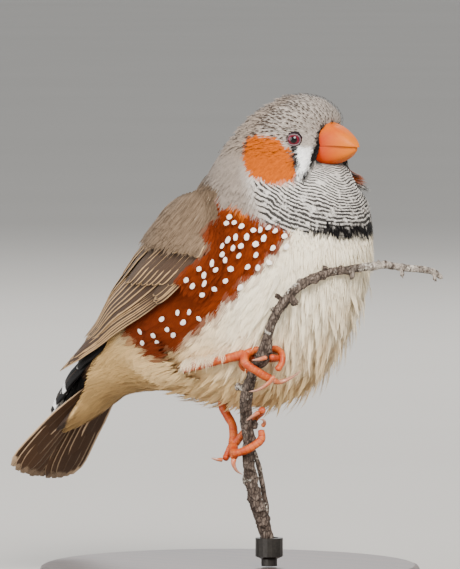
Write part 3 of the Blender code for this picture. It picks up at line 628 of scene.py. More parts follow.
def blades_shape(name, seed, blades=7, spread=0.36, width=0.17, curl=0.10, even=0.12, point=0.25):
    """A loose feather: slender blades that leave the shaft in turn, as barbs do; point draws in the tip."""
    draw = np.random.default_rng(seed)
    points, vanes, faces = [], [], []
    for k in range(blades):
        f = (k + 0.5) / blades * 2 - 1
        high = 1.0 - point * abs(f) ** 1.4 - even * draw.random()
        lean = f * spread + 0.04 * draw.standard_normal()
        start = len(points)
        for s, half in ((0.0, 0.55), (0.5, 1.0), (0.82, 0.62)):
            y = high * s
            x = lean * math.sin(min(s * 1.9, 1.0) * math.pi / 2)
            z = -curl * y * y - 0.10 * abs(lean) + 0.03 * (k % 2) * s
            for side in (-1, 1):
                points.append((x + side * width * half / 2, y, z))
        points.append((lean * 1.02, high, -curl * high * high - 0.10 * abs(lean) - 0.01))
        vanes += [(p[0] * 2, p[1], 0) for p in points[start:]]
        faces += [(start, start + 1, start + 3, start + 2), (start + 2, start + 3, start + 5, start + 4),
                  (start + 4, start + 5, start + 6)]
    return shape_object(name, points, vanes, faces)


def spot_shape(name, seed, corners=14):
    """A small, round, slightly ragged white feather tip."""
    draw = np.random.default_rng(seed)
    a = circle(corners)
    oval = 0.13 * np.cos(2 * a + 6 * draw.random())
    edge = 0.5 * (1 + oval + 0.07 * draw.standard_normal(corners).clip(-1.5, 1.5))
    x, y = edge * np.sin(a), 0.5 - edge * np.cos(a)
    inner = zip(0.6 * x, 0.5 + 0.6 * (y - 0.5), np.zeros(corners))
    points = [(0.0, 0.5, 0.02), *inner, *zip(x, y, np.full(corners, -0.09))]
    faces = []
    for k, after in zip(range(1, corners + 1), (*range(2, corners + 1), 1)):
        faces += [(0, k, after), (k, corners + k, corners + after, after)]
    return shape_object(name, points, [(p[0] * 2, 0.5 + 0.3 * p[1], 0) for p in points], faces)


def shape_object(name, points, vanes, faces):
    """A feather that the coat repeats; it stands in no scene of its own."""
    mesh = bpy.data.meshes.new(name)
    mesh.from_pydata([tuple(p) for p in points], [], faces)
    mesh.shade_smooth()
    set_attribute(mesh, "vane", "FLOAT_VECTOR", vanes)
    return bpy.data.objects.new(name, mesh)


def shape_set(name, objects):
    """A collection that the coat picks its feathers from."""
    made = bpy.data.collections.new(name)
    for obj in objects:
        made.objects.link(obj)
    return made


# The coat

MAP_SIZE = (0.0015, 0.003, 0.0)  # the part of the coat's map that one feather takes


def coat_tree():
    """Geometry Nodes that plant feathers along their lie, spread over faces or on the mesh's own points."""
    n = Nodes(bpy.data.node_groups.new("Plumage coat", "GeometryNodeTree"))
    given, out = n.sockets((
        ("Geometry", "Geometry"), ("Feathers", "Collection"), ("Spacing", "Float", 0.001),
        ("Own Points", "Bool", False), ("Lift", "Float", 12.0), ("Unruly", "Float", 8.0),
        ("Seed", "Int", 1), ("Finish", "Material")), (("Geometry", "Geometry"),))
    ground, spacing, unruly, seed = (given[key] for key in ("Geometry", "Spacing", "Unruly", "Seed"))

    def named(name, kind="FLOAT"):
        return n.add("GeometryNodeInputNamedAttribute", {"Name": name}, data_type=kind).outputs["Attribute"]

    def chance(low, high, offset):
        return n.add("FunctionNodeRandomValue", {2: low, 3: high, "Seed": n.calc("ADD", seed, float(offset))},
                     data_type="FLOAT").outputs[1]

    planted = n.add("GeometryNodeDistributePointsOnFaces", {
        "Mesh": ground, "Distance Min": spacing, "Density Factor": named("density"), "Seed": seed,
        "Density Max": n.calc("DIVIDE", 2.4, n.times(spacing, spacing))}, distribute_method="POISSON")
    own = n.add("GeometryNodeMeshToPoints", {"Mesh": ground})
    places = n.add("GeometryNodeSwitch", {
        "Switch": given["Own Points"], "False": planted.outputs["Points"], "True": own.outputs[0]},
        input_type="GEOMETRY")
    turned = n.add("FunctionNodeAxesToRotation", {
        "Primary Axis": named("out", "FLOAT_VECTOR"), "Secondary Axis": named("lie", "FLOAT_VECTOR")},
        primary_axis="Z", secondary_axis="Y")
    pitch = n.scaled(unruly, chance(-0.35, 0.35, 2), n.times(given["Lift"], named("raise")))
    roll, sway = n.times(unruly, chance(-0.6, 0.6, 7)), n.times(unruly, chance(-1.0, 1.0, 1))
    angles = {k: n.calc("RADIANS", angle) for k, angle in enumerate((pitch, roll, sway))}
    tip = n.add("FunctionNodeEulerToRotation", {0: n.add("ShaderNodeCombineXYZ", angles).outputs[0]})
    tipped = n.add("FunctionNodeRotateRotation", {"Rotation": turned.outputs[0], "Rotate By": tip.outputs[0]},
                   rotation_space="LOCAL")
    length = n.times(named("length"), chance(0.84, 1.16, 3))
    width = n.times(named("width"), chance(0.88, 1.12, 4))
    size = n.add("ShaderNodeCombineXYZ", {0: width, 1: length, 2: length})
    shapes = n.add("GeometryNodeCollectionInfo", {
        "Collection": given["Feathers"], "Separate Children": True, "Reset Children": True})
    which = n.add("FunctionNodeRandomValue", {4: 0, 5: 999, "Seed": n.calc("ADD", seed, 5.0)},
                  data_type="INT")
    held = n.add("GeometryNodeInstanceOnPoints", {
        "Points": places.outputs[0], "Instance": shapes.outputs[0], "Pick Instance": True,
        "Instance Index": which.outputs[2], "Rotation": tipped.outputs[0], "Scale": size.outputs[0]})
    luck = n.add("GeometryNodeStoreNamedAttribute", {
        "Geometry": held.outputs[0], "Name": "luck", "Value": chance(0.0, 1.0, 6)},
        data_type="FLOAT", domain="INSTANCE")
    real = n.add("GeometryNodeRealizeInstances", {"Geometry": luck.outputs[0]})
    centred = n.vector("ADD", named("vane", "FLOAT_VECTOR"), (0.0, -0.5, 0.0))[0]
    small = n.vector("MULTIPLY", centred, MAP_SIZE)[0]
    patch = n.vector("ADD", small, named("unwrap", "FLOAT_VECTOR"))[0]
    mapped = n.add("GeometryNodeStoreNamedAttribute", {
        "Geometry": real.outputs[0], "Name": "OFBake", "Value": patch}, data_type="FLOAT2", domain="CORNER")
    done = n.add("GeometryNodeSetMaterial", {"Geometry": mapped.outputs[0], "Material": given["Finish"]})
    n.feed(out[0], done.outputs[0])
    return n.tree


def run_tree(obj, tree, values):
    """Runs a Geometry Nodes tree on obj with values by input name, and keeps the result as a plain mesh."""
    modifier = obj.modifiers.new("Tree", "NODES")
    modifier.node_group = tree
    for item in tree.interface.items_tree:
        if item.item_type == "SOCKET" and item.in_out == "INPUT" and item.name in values:
            modifier[item.identifier] = values[item.name]
    obj.update_tag()
    bpy.context.view_layer.update()
    graph = bpy.context.evaluated_depsgraph_get()
    result = bpy.data.meshes.new_from_object(obj.evaluated_get(graph))
    obj.modifiers.clear()
    old = obj.data
    obj.data = result
    bpy.data.meshes.remove(old)
    result.name = obj.name


def soften_normals(mesh, share):
    """Leans the feathers' shading towards the surface that they grow from, as down scatters light."""
    count = len(mesh.vertices)
    own, under = np.zeros(count * 3, np.float32), np.zeros(count * 3, np.float32)
    mesh.vertex_normals.foreach_get("vector", own)
    mesh.attributes["out"].data.foreach_get("vector", under)
    own, under = own.reshape(-1, 3), under.reshape(-1, 3)
    mesh.normals_split_custom_set_from_vertices(unit(own * (1 - share) + under * share).tolist())


@dataclasses.dataclass
class Ground:
    """Points of a surface that feathers grow from, with what each needs; lengths in millimetres.

    Where rows is 0, feathers grow on the points themselves.
    """
    rows: int
    columns: int
    wrap: bool
    at: np.ndarray
    out: np.ndarray
    lie: np.ndarray
    colour: np.ndarray
    marks: np.ndarray
    unwrap: np.ndarray

    def mesh(self, name):
        faces = grid_faces(self.rows, self.columns, self.wrap) if self.rows else []
        made = mesh_piece(name, self.at, faces)
        flat = np.concatenate([self.unwrap, np.zeros((len(self.unwrap), 1))], -1)
        for key, values in (("unwrap", flat), ("out", self.out), ("lie", self.lie), ("marks", self.marks)):
            set_attribute(made.data, key, "FLOAT_VECTOR", values)
        set_attribute(made.data, "plumage", "FLOAT_COLOR", self.colour)
        return made


def feather_reach(t, p):
    """How far the part of a feather that shows lies from its root."""
    return 1.05 + 0.95 * far_from_bill(p) + 0.8 * smooth(t, 9.3, 8.0)


def trunk_ground(t, turn, rows=0, columns=0, wrap=False, lift=0.0, tips=False):
    """Ground over the trunk at rings t and turns, under the plumage's surface by the coat's depth.

    With tips, a place takes the markings of where the tip of its feather lies.
    """
    outer, out, tailward = trunk_frame(t, turn, lift)
    lie = lie_of(t, turn, outer, out, tailward)
    if tips:
        step = lie * feather_reach(t, outer)[:, None]
        ring = (trunk(t - 0.05, turn) - trunk(t + 0.05, turn)) * 10
        degree = (trunk(t, turn + 1) - trunk(t, turn - 1)) / 2
        tip_t = t - np.sum(step * ring, -1) / np.maximum(np.sum(ring ** 2, -1), 1.0)
        tip_turn = turn + np.sum(step * degree, -1) / np.maximum(np.sum(degree ** 2, -1), 0.003)
        colour, marks = markings(np.clip(tip_t, 0, LAST_RING), (tip_turn + 180) % 360 - 180, outer + step)
    else:
        colour, marks = markings(t, turn, outer)
    at = trunk(t, turn, lift - coat_depth(t, turn))
    unwrap = np.stack([(turn / 360 + 0.5) * 0.98 + 0.01, t / LAST_RING * 0.98 + 0.01], -1)
    return Ground(rows, columns, wrap, at, out, lie, colour, marks, unwrap)


SKIN_T, SKIN_TURN = sheet(np.linspace(0.0, LAST_RING - 0.02, SKIN_RINGS),
                          np.linspace(-180, 180, SKIN_COLUMNS))
SKIN_PHI = np.abs(SKIN_TURN)
SKIN = trunk_ground(SKIN_T, SKIN_TURN, SKIN_RINGS, SKIN_COLUMNS)
ROOTS = trunk_ground(SKIN_T, SKIN_TURN, SKIN_RINGS, SKIN_COLUMNS, tips=True)
OUTER_AT = trunk(SKIN_T, SKIN_TURN)
COAT_TREE = coat_tree()


def coat(name, ground, shapes, finish, slot, seed, density, length, width, spacing=1.0, lift=12.0,
         unruly=8.0, raised=1.0, soft=0.6):
    """One piece of the coat; density, length, width and raised are one value or one for each point."""
    made = ground.mesh(name)
    full = np.ones(len(ground.at))
    sizes = {"density": density, "length": length * MM, "width": width * MM, "raise": raised}
    for key, values in sizes.items():
        set_attribute(made.data, key, "FLOAT", full * values)
    run_tree(made, COAT_TREE, {"Feathers": shapes, "Spacing": spacing * MM, "Own Points": ground.rows == 0,
                               "Lift": lift, "Unruly": unruly, "Seed": seed, "Finish": finish})
    made.data.shade_smooth()
    soften_normals(made.data, soft)
    dress(made, slot)


def eye_centre(side):
    return np.array((EYE[0], side * EYE[1], EYE[2]))


def marks_over(ground, colour, rise):
    """The same ground a little higher, for small feathers of one colour that are marks."""
    tint = np.tile((*colour, 0.0), (len(ground.at), 1))
    return dataclasses.replace(ground, at=ground.at + ground.out * rise, colour=tint, marks=ground.marks * 0)


def eye_distance(p):
    """How far points lie from the nearer eye's middle."""
    return np.minimum(*(np.linalg.norm(p - eye_centre(side), axis=-1) for side in (LEFT, RIGHT)))


# Places of the flank's white spots: ring and turn
SPOTS = np.array((
    (8.06, 93), (7.88, 93), (7.98, 97), (7.98, 102), (8.01, 109), (8.08, 112.5), (8.18, 117), (8.16, 121),
    (7.95, 116.3), (7.71, 101), (7.58, 98), (7.83, 107), (7.78, 113), (7.41, 97), (7.48, 102), (7.61, 106),
    (7.83, 122), (7.26, 99), (7.19, 101), (7.41, 107), (7.58, 115), (7.04, 97), (6.79, 94), (6.94, 100),
    (7.11, 106), (7.31, 113), (6.74, 97), (6.60, 99), (6.44, 92), (6.42, 96), (6.84, 106), (6.59, 104),
    (6.37, 101), (5.62, 96), (5.84, 100), (5.20, 93), (5.57, 101), (5.89, 106), (5.12, 98), (5.15, 102),
    (4.70, 96), (4.63, 101), (4.33, 97), (4.50, 91), (6.91, 114), (7.96, 129), (7.56, 123), (7.39, 118),
    (8.13, 127),
))


def spot_ground(side):
    """Ground of single places for the white spots, a little behind each spot's middle."""
    t, turn = SPOTS[:, 0], side * SPOTS[:, 1]
    rise = 0.9 + 0.5 * (t < 4.6)[:, None]
    ground = marks_over(trunk_ground(t, turn, lift=cover_lift(t, turn, side)), SPOT_WHITE, rise)
    ground.at = ground.at - ground.lie * 0.6
    return ground


def blades_set(name, count, seed, *form, **more):
    """A set of loose feathers that differ a little."""
    return shape_set(name, [blades_shape(f"{name} {k}", seed + k, *form, **more) for k in range(count)])


def make_head_coat(down, clear):
    """Short feathers of crown and face, with the crown's flecks and loose feathers."""
    t, phi = SKIN_T, SKIN_PHI
    finish = feather_material("Face plumage", 9.0, 0.7)
    far = far_from_bill(OUTER_AT)
    head = clear * (t > 9.2)
    puffed = (SKIN_TURN > 0) * smooth(phi, 108, 120) * smooth(phi, 148, 140)
    puffed = puffed * smooth(OUTER_AT[:, 2], 23.0, 21.0)

    def grow(name, ground, seed, density, length, width, **more):
        coat(name, ground, down, finish, "head_plumage", seed, density, length, width, **more)

    grow("coat_crown", ROOTS, 3, head * (t >= 10.7), 1.2 + 1.0 * far, 0.6 + 0.4 * far,
         spacing=0.31, lift=13, unruly=11)
    grow("coat_face", ROOTS, 4, head * (t < 10.7), 1.25 + 1.1 * far + 0.8 * puffed, 0.6 + 0.35 * far,
         spacing=0.28, lift=9, unruly=6, raised=1 + 5 * puffed)
    grow("coat_flecks", marks_over(ROOTS, FLECK, 0.55), 15, ROOTS.marks[:, 2] * clear, 0.75 + 0.45 * far,
         0.24 + 0.1 * far, spacing=0.62, lift=12, unruly=12)
    grow("coat_crown_loose", ROOTS, 16, head * (t >= 10.4) * (phi < 130), 1.3 + 0.8 * far, 0.45 + 0.3 * far,
         spacing=0.75, lift=26, unruly=24)


def make_body_coat(down):
    """Neck, belly, flanks with their spots, mantle, vent, loose locks, thigh, and the wings' front."""
    t, phi, turn = SKIN_T, SKIN_PHI, SKIN_TURN
    silk = blades_set("Silk", 6, 10, 7, 0.34, 0.15)
    spots = shape_set("Spots", [spot_shape(f"Spot {k}", 30 + k) for k in range(5)])
    locks = blades_set("Locks", 4, 50, 9, 0.30, 0.14, 0.16, 0.2, 0.6)
    hairs = blades_set("Hairs", 4, 70, 3, 0.7, 0.12, 0.06, 0.3, 0.5)
    finish = feather_material("Body plumage", 20.0, 0.76)
    coat("coat_neck", ROOTS, down, finish, "neck_plumage", 5, (t >= 8.15) * (t <= 9.2), 3.0, 1.2,
         spacing=0.36, lift=15, unruly=9)

    def grow(name, ground, seed, density, length, width, shapes=silk, **more):
        coat(name, ground, shapes, finish, "body_plumage", seed, density, length, width, **more)

    bare = 1 - under_wing(t, turn)
    flank = ROOTS.marks[:, 1]
    belly = (t < 8.25) * (t >= 2.4) * (phi > 80) * bare
    hang = smooth(phi, 130, 165) * smooth(t, 5.0, 6.3)
    for seed, (side, label) in enumerate(SIDES[::-1], 6):
        grow("coat_belly_" + label, ROOTS, seed, belly * (turn * side >= 0) * (flank < 0.7), 4.8, 1.6,
             spacing=0.5, lift=10, raised=1 + 0.7 * hang, soft=0.8)
    for seed, (side, label) in enumerate(SIDES[::-1], 8):
        name = "coat_flank_" + label
        grow(name, ROOTS, seed, (flank > 0.25) * (turn * side >= 0) * bare, 3.6, 1.5, spacing=0.46, lift=10)
        grow(name + "_spots", spot_ground(side), seed + 20, 1.0, 1.14, 0.98, spots, lift=4, unruly=16)
    grow("coat_mantle", ROOTS, 10, (t < 8.25) * (phi <= 84) * (t >= 2.0) * bare, 4.4, 2.0,
         spacing=0.6, lift=10, unruly=7)
    grow("coat_vent", ROOTS, 11, (t < 2.5) * (phi > vent_edge(t - 0.5)), 5.6, 1.9,
         spacing=0.55, lift=7, unruly=6)
    grow("coat_loose", ROOTS, 12, belly * (phi > 128) * (t > 3.6) * (t < 7.6), 7.2, 2.2, locks,
         spacing=1.9, lift=21, unruly=11, raised=1 + 0.6 * hang, soft=0.7)
    thigh, grown = thigh_ground()
    grow("coat_thigh", thigh, 17, grown, 4.4, 1.3, spacing=0.6, lift=10, unruly=9)
    grow("coat_thigh_hairs", shank_hairs(), 18, 1.0, 2.7, 0.5, hairs, lift=-3, unruly=10)
    for seed, (side, label) in enumerate(SIDES[::-1], 13):
        ground, scapulars, over = shoulder_ground(side)
        grow("coat_shoulder_" + label, ground, seed, scapulars, 4.0, 1.7, spacing=0.5, lift=10, unruly=9)
        grow("coat_flank_over_" + label, ground, seed + 30, over, 3.4, 1.4, spacing=0.46, lift=7)


ROOT_CLEAR, TIP_CLEAR = 1.85, 1.8  # how far from the eye's middle feathers keep


def make_coat():
    """The whole coat, clear of the eyes and of the bill's root."""
    tips = OUTER_AT + ROOTS.lie * feather_reach(SKIN_T, OUTER_AT)[:, None]
    clear = 1 - behind_bill(SKIN_T, SKIN_PHI)
    clear = clear * (eye_distance(OUTER_AT) > ROOT_CLEAR) * (eye_distance(tips) > TIP_CLEAR)
    down = blades_set("Face down", 5, 20, 5, 0.34, 0.22, point=0.35)
    make_head_coat(down, clear)
    make_body_coat(down)


def wing_edges(t):
    """The turns of the folded wing's upper and lower edges, at each ring."""
    return [np.interp(t, WING_EDGE[:, 0], WING_EDGE[:, k]) for k in (1, 2)]


def wing_droop(t, side):
    """The left wing hangs a little, in degrees, most at its tip."""
    return WING_DROOP * np.clip((8.0 - t) / 6.5, 0.0, 1.0) * (side == LEFT)


def under_wing(t, turn):
    """1 where a folded wing lies over the skin, well inside its edges."""
    covered = np.zeros(len(t))
    for side in (LEFT, RIGHT):
        upper, lower = wing_edges(t)
        droop = wing_droop(t, side)
        here = (turn * side > upper + droop + 9) & (turn * side < lower + droop - 9) & (t > 2.6) & (t < 8.0)
        covered = np.maximum(covered, here)
    return covered


def wing_turn(t, across, side):
    """The turn of a place over the wing, 0 to 1 from its lower to its upper edge."""
    upper, lower = wing_edges(t)
    return lower + (upper - lower) * across + wing_droop(t, side)


def wing_point(t, across, lift, side):
    """A point over the folded wing's bed: across is 0 at the lower edge and 1 at the upper edge."""
    rise = WING_TIP_RISE * np.maximum((3.4 - t) / 1.9, 0.0) ** 1.5
    return trunk(t, side * wing_turn(t, across, side), lift + rise)


def bed_lift(t, across):
    """Height of the wing's bed over the trunk."""
    ends = np.clip(np.minimum(0.1 + (BED_FRONT - t) / 1.2, 0.1 + (t - BED_BACK) / 2.0), 0.0, 1.0)
    return BED_RISE + 0.8 * ends * np.maximum(np.sin(np.pi * np.clip(across, 0, 1)), 0) ** 0.6


def cover_height(t, turn, side):
    """How far feathers on the front of the wing rise over the trunk, falling off beyond its edges."""
    upper, lower = wing_edges(t)
    across = (lower - (turn * side - wing_droop(t, side))) / (lower - upper)
    beyond = np.maximum(np.maximum(-across, across - 1) / 0.2, (t - BED_FRONT) / 0.4)
    return 0.35 + (bed_lift(t, across) + 1.35) * smooth(beyond, 1.0, 0.0)


def cover_lift(t, turn, side):
    """Lift of the flank's feathers, which lie over the wing's front edge."""
    return cover_height(t, turn, side) * smooth(t, 5.9, 6.3)


def shoulder_ground(side, rows=70, columns=90):
    """Ground over the front of the wing: brown scapulars above, chestnut flank over the wing's edge.

    Also gives 1 where scapulars and where flank feathers grow.
    """
    t, across = sheet(np.linspace(5.2, 8.8, rows), np.linspace(-0.2, 1.2, columns))
    turn = side * wing_turn(t, across, side)
    phi = np.abs(turn)
    ground = trunk_ground(t, turn, rows, columns, lift=cover_height(t, turn, side), tips=True)
    tip = t - 0.36
    front = along_line(SCAPULAR_FRONT, tip)
    brown = smooth(phi + 1.5 * waviness(ground.at, 1.1), front + 0.8, front - 0.8)
    ground.colour[:, :3] = mix(ground.colour[:, :3], MANTLE, brown)
    ground.colour[:, 3] = 0.85 * brown
    ground.marks[:] = 0.0
    scapulars = (brown > 0.5) & (tip > along_line(SCAPULAR_EDGE, phi))
    flank = (brown <= 0.5) & (phi < 101) & (tip > 6.05) & (tip < 8.25) & (phi > 84)
    return ground, scapulars.astype(float), flank.astype(float)


# The right shank over the trunk: its x, ring, turn and the height of its outer face
SHANK_OVER = np.array([
    (-12.0, 3.7, 113.0, 0.0), (-6.5, 4.13, 115.0, 3.5), (-1.4, 4.61, 116.0, 3.3), (4.5, 5.11, 121.0, 2.4),
    (7.7, 5.39, 124.0, 1.9), (10.3, 5.64, 128.0, 1.9), (12.6, 5.84, 130.0, 2.1),
])


def shank_hairs(count=85):
    """Places above the right shank for the belly's hair-like feathers that hang over it."""
    draw = np.random.default_rng(80)
    rows = np.array([beside_twig(p) for p in RIGHT_FOOT["shank"]])
    s = 0.15 + 2.3 * draw.uniform(0.0, 1.0, count) ** 1.2
    at = curve(rows[:, :3], s) + np.stack([0 * s, 0 * s, draw.uniform(0.7, 1.7, count)], -1)
    out = np.tile(unit(np.array((0.30, -0.95, 0.1))), (count, 1))
    at = at + out * (1.15 + 0.25 * draw.random(count)[:, None])
    lie = np.array((-0.35, 0.0, -1.0)) + 0.22 * draw.standard_normal((count, 3))
    lie = unit(lie - out * np.sum(lie * out, -1, keepdims=True))
    colour = np.tile((*THIGH_HAIR, 0.0), (count, 1))
    unwrap = np.stack([0.15 + 0.1 * s / 3, 0.3 + 0.1 * draw.random(count)], -1)
    return Ground(0, 0, False, at, out, lie, colour, np.zeros((count, 3)), unwrap)


def thigh_ground(rows=60, columns=40):
    """Ground over the right thigh and shank, and 1 where the thigh's feathers grow."""
    x, w = sheet(np.linspace(-12.0, 12.0, rows), np.linspace(-1.0, 1.0, columns))
    t, turn, height = (np.interp(x, SHANK_OVER[:, 0], SHANK_OVER[:, k]) for k in (1, 2, 3))
    lift = 0.3 + (height + 0.6) * np.cos(math.pi / 2 * w)
    ground = trunk_ground(t, -(turn + 17.0 * w), rows, columns, lift=lift, tips=True)
    return ground, smooth(x, 1.5, -1.0) > 0.5


class Feathers:
    """Gathers closed, flat feathers into one mesh."""

    def __init__(self, columns=12, rows=14):
        self.columns, self.rows = columns, rows
        self.points, self.vanes, self.tints, self.luck = [], [], [], []

    def add(self, middle, out, half, luck, tint=0.0, roll=0.0, thickness=0.14, tip=0.72, camber=0.12):
        """middle and out are rows of points and of outward directions along the feather."""
        s = np.linspace(0, 1, self.rows)
        along = unit(np.gradient(middle, axis=0))
        across = unit(np.cross(out, along))
        up = np.cross(along, across)
        tilt = math.radians(roll)
        wide = across * math.cos(tilt) + up * math.sin(tilt)
        rounded = np.sqrt(np.clip(1 - np.clip((s - tip) / (1.005 - tip), 0, 1) ** 2.2, 0.0, 1))
        body = np.minimum(0.45 + 1.2 * s, 1.0) * rounded
        x, y = np.cos(circle(self.columns)), np.sin(circle(self.columns))
        fine = 0.02 * np.sin(s * 90 + luck * 40)
        for i in range(self.rows):
            reach = half * max(body[i], 0.04) * (1 + fine[i])
            thick = thickness * y * max(body[i], 0.1) - camber * reach * x ** 2
            self.points.append(middle[i] + wide[i] * reach * x[:, None] + up[i] * thick[:, None])
            self.vanes.append(np.stack([x, np.full(self.columns, s[i]), y], -1))
        self.tints.append(tint)
        self.luck.append(luck)

    def build(self, name, slot, finish, *nodes):
        count, size = len(self.tints), self.rows * self.columns
        faces = [face for k in range(count) for face in tube_faces(self.rows, self.columns, k * size)]
        made = mesh_piece(name, np.concatenate(self.points), faces)
        mesh = made.data
        turn_faces_out(mesh)
        set_attribute(mesh, "vane", "FLOAT_VECTOR", np.concatenate(self.vanes))
        set_attribute(mesh, "tint", "FLOAT", np.repeat(self.tints, size))
        set_attribute(mesh, "luck", "FLOAT", np.repeat(self.luck, size))
        feather, place = np.divmod(corner_points(mesh), size)
        u = (place % self.columns) / self.columns
        v = (place // self.columns) / (self.rows - 1)
        cells = math.ceil(math.sqrt(count))
        uv = [(feather % cells + 0.04 + 0.92 * u) / cells, (feather // cells + 0.04 + 0.92 * v) / cells]
        set_attribute(mesh, "OFBake", "FLOAT2", np.stack(uv, -1), "CORNER")
        dress(made, slot, finish, *nodes)


def turn_faces_out(mesh, close=False):
    """Turns the faces outwards, with close after its doubles are merged and its holes filled."""
    surface = bmesh.new()
    surface.from_mesh(mesh)
    if close:
        bmesh.ops.remove_doubles(surface, verts=surface.verts, dist=1e-6)
        bmesh.ops.holes_fill(surface, edges=surface.edges)
    bmesh.ops.recalc_face_normals(surface, faces=surface.faces)
    surface.to_mesh(mesh)
    surface.free()


def corner_points(mesh):
    """The point of each of a mesh's corners."""
    points = np.zeros(len(mesh.loops), np.int32)
    mesh.loops.foreach_get("vertex_index", points)
    return points


def quill_material(name, kind, dark, pale, edge):
    """A flight feather or covert: dark vane, pale edge and tip, shaft and barbs.

    A feather's tint browns a wing feather's vane, widens and strengthens a tail feather's pale rim, and is
    the strength of a barred covert's white bar.
    """
    n = Surface(name, 0.6, Specular_IOR_Level=0.18, Sheen_Weight=0.03)
    vane = n.parts(n.attribute("vane"))
    across, along = vane["X"], vane["Y"]
    tint, luck = n.attribute("tint", "Fac"), n.attribute("luck", "Fac")
    uneven = n.scaled(n.grain(n.position(), 500.0, 3.0), 0.16, -0.08)
    edge_at, tip_at = n.calc("ADD", across, uneven), n.calc("ADD", along, uneven)
    seen = dark
    if kind == "wing":
        seen = n.blend(tint, dark, MANTLE)
    elif kind == "barred":
        moved = n.calc("ADD", along, n.scaled(luck, 0.06, uneven))
        bar = n.times(n.ramp(moved, 0.79, 0.81), n.ramp(moved, 0.93, 0.91))
        seen = n.blend(n.times(bar, tint), dark, WHITE)
    else:
        edge_at, tip_at = n.scaled(tint, 0.12, n.calc("ABSOLUTE", edge_at)), n.scaled(tint, 0.06, tip_at)
    rim = n.calc("MAXIMUM", n.ramp(edge_at, edge, edge + 0.13), n.ramp(tip_at, 0.95, 0.99))
    rim = n.times(rim, n.ramp(along, 0.05, 0.3))
    if kind == "tail":
        rim = n.times(rim, n.scaled(tint, 0.8, 0.2))
    barbs = n.group(BARBS, Across=across, Along=along, Count=60.0, Slant=0.12)
    seen = n.blend(n.times(barbs["Shaft"], 0.6), n.blend(rim, seen, pale), SHAFT)
    seen = n.toned(seen, n.scaled(luck, 0.24, 0.86), n.scaled(barbs["Line"], -0.22, 1.0))
    return n.finished(seen, n.calc("ADD", barbs["Line"], n.times(barbs["Shaft"], 3.0)), 0.35, 0.00015)


def bed_material():
    """The dark, slightly uneven feathering under the wing's quills."""
    n = Surface("Wing bed", 0.8)
    base = n.add("ShaderNodeRGB").outputs[0]
    base.default_value = (*mix(QUILL, MANTLE, 0.5), 1.0)
    seen = n.group(MOTTLE, Color=base, Vector=n.position(), Scale=800.0, Amount=0.3)
    return n.finished(seen["Color"], seen["Fac"], 0.3, 0.0002)


# Rows of wing feathers: count, half width, root rings, tip rings, across at root, across at tip, lifts, tints
WING_ROWS = (
    (8, 1.35, (6.2, 5.7), (1.5, 2.55), (0.07, 0.20), (0.22, 0.52), (0.95, 1.30), (0.0, 0.0)),
    (7, 1.6, (6.6, 6.2), (2.8, 2.5), (0.20, 0.62), (0.38, 0.76), (1.35, 1.60), (0.0, 0.1)),
    (3, 2.3, (6.6, 6.4), (2.9, 3.7), (0.66, 0.92), (0.80, 1.0), (1.7, 2.0), (0.2, 0.45)),
    (4, 1.0, (7.0, 6.9), (5.4, 5.5), (0.06, 0.12), (0.07, 0.13), (1.50, 1.65), (0.0, 0.1)),
    (9, 1.15, (7.2, 6.6), (6.1, 4.95), (0.07, 0.46), (0.06, 0.44), (1.75, 2.05), (0.0, 0.1)),
    (5, 1.8, (6.8, 6.4), (4.9, 4.3), (0.52, 0.92), (0.50, 0.94), (1.95, 2.15), (0.2, 0.45)),
    (6, 1.3, (7.5, 7.2), (6.95, 6.35), (0.08, 0.40), (0.08, 0.42), (2.0, 2.2), (0.7, 0.9)),
)
WING_ROOT_LIFT, WING_ROLL = 0.9, 11.0
WING_JITTER = 0.03


def make_wings():
    finish = quill_material("Wing quills", "wing", QUILL, QUILL_EDGE, 0.72)
    under = bed_material()
    for side, label in SIDES:
        draw = np.random.default_rng(40 + side)
        wing = Feathers()
        s = np.linspace(0, 1, wing.rows)
        for count, half, *pairs in WING_ROWS:
            for k in range(count):
                f = k / (count - 1)
                root_ring, tip_ring, root, tip, lift, tint = (between(pair, f) for pair in pairs)
                jitter = WING_JITTER * draw.standard_normal(3)
                rise = (lift + jitter[2] - WING_ROOT_LIFT) * np.minimum(s * 1.6, 1.0)
                rings = root_ring + (tip_ring + jitter[0] - root_ring) * s
                across = root + (tip + jitter[1] * 0.3 - root) * s
                middle = wing_point(rings, across, WING_ROOT_LIFT + rise, side)
                out = unit(wing_point(rings, across, WING_ROOT_LIFT + rise + 1, side) - middle)
                wing.add(middle, out, half, draw.random(), tint, -side * WING_ROLL)
        wing.build("feathers_wing_" + label, "wing_feathers", finish, "wing_" + label)
        dress(wing_bed("bed_wing_" + label, side), "wing_feathers", under)


def wing_bed(name, side):
    """The smooth body under the wing's feathers."""
    rings = []
    for t in np.linspace(BED_BACK, BED_FRONT, BED_RINGS):
        steps = np.linspace(0.07 + 0.23 * max(1 - (t - BED_BACK) / 1.6, 0.0), 1, BED_POINTS)
        outer = wing_point(t, steps, bed_lift(t, steps) - BED_RISE, side)
        rings.append(np.concatenate([outer, wing_point(t, steps[::-1], -0.4, side)]))
    return closed_piece(name, rings)


TAIL_ROOT, TAIL_TIP = np.array((-29.8, 0, -17.7)), np.array((-46.8, 0, -38.6))
TAIL_PAIRS, TAIL_VANE, TAIL_ROOT_SPREAD, TAIL_TIP_SPREAD = 6, 2.2, 2.2, 7.5
TAIL_STEP, TAIL_CUP, TAIL_ROUNDING, TAIL_BOW, TAIL_ROLL = 0.34, 1.9, 1.4, 0.6, 14.0
TAIL_PALE = (0.1, 0.1, 0.15, 0.2, 0.35, 1.0)  # how pale each pair's edges are, from the middle outwards
# Barred coverts over the tail: count, spread in degrees, root ring, end ring, lift, white bars
BARRED_ROWS = ((9, 72.0, 3.1, 1.55, 0.9, 0.0), (9, 68.0, 2.5, 0.75, 1.1, 1.0), (7, 60.0, 2.0, 0.15, 1.2, 1.0))


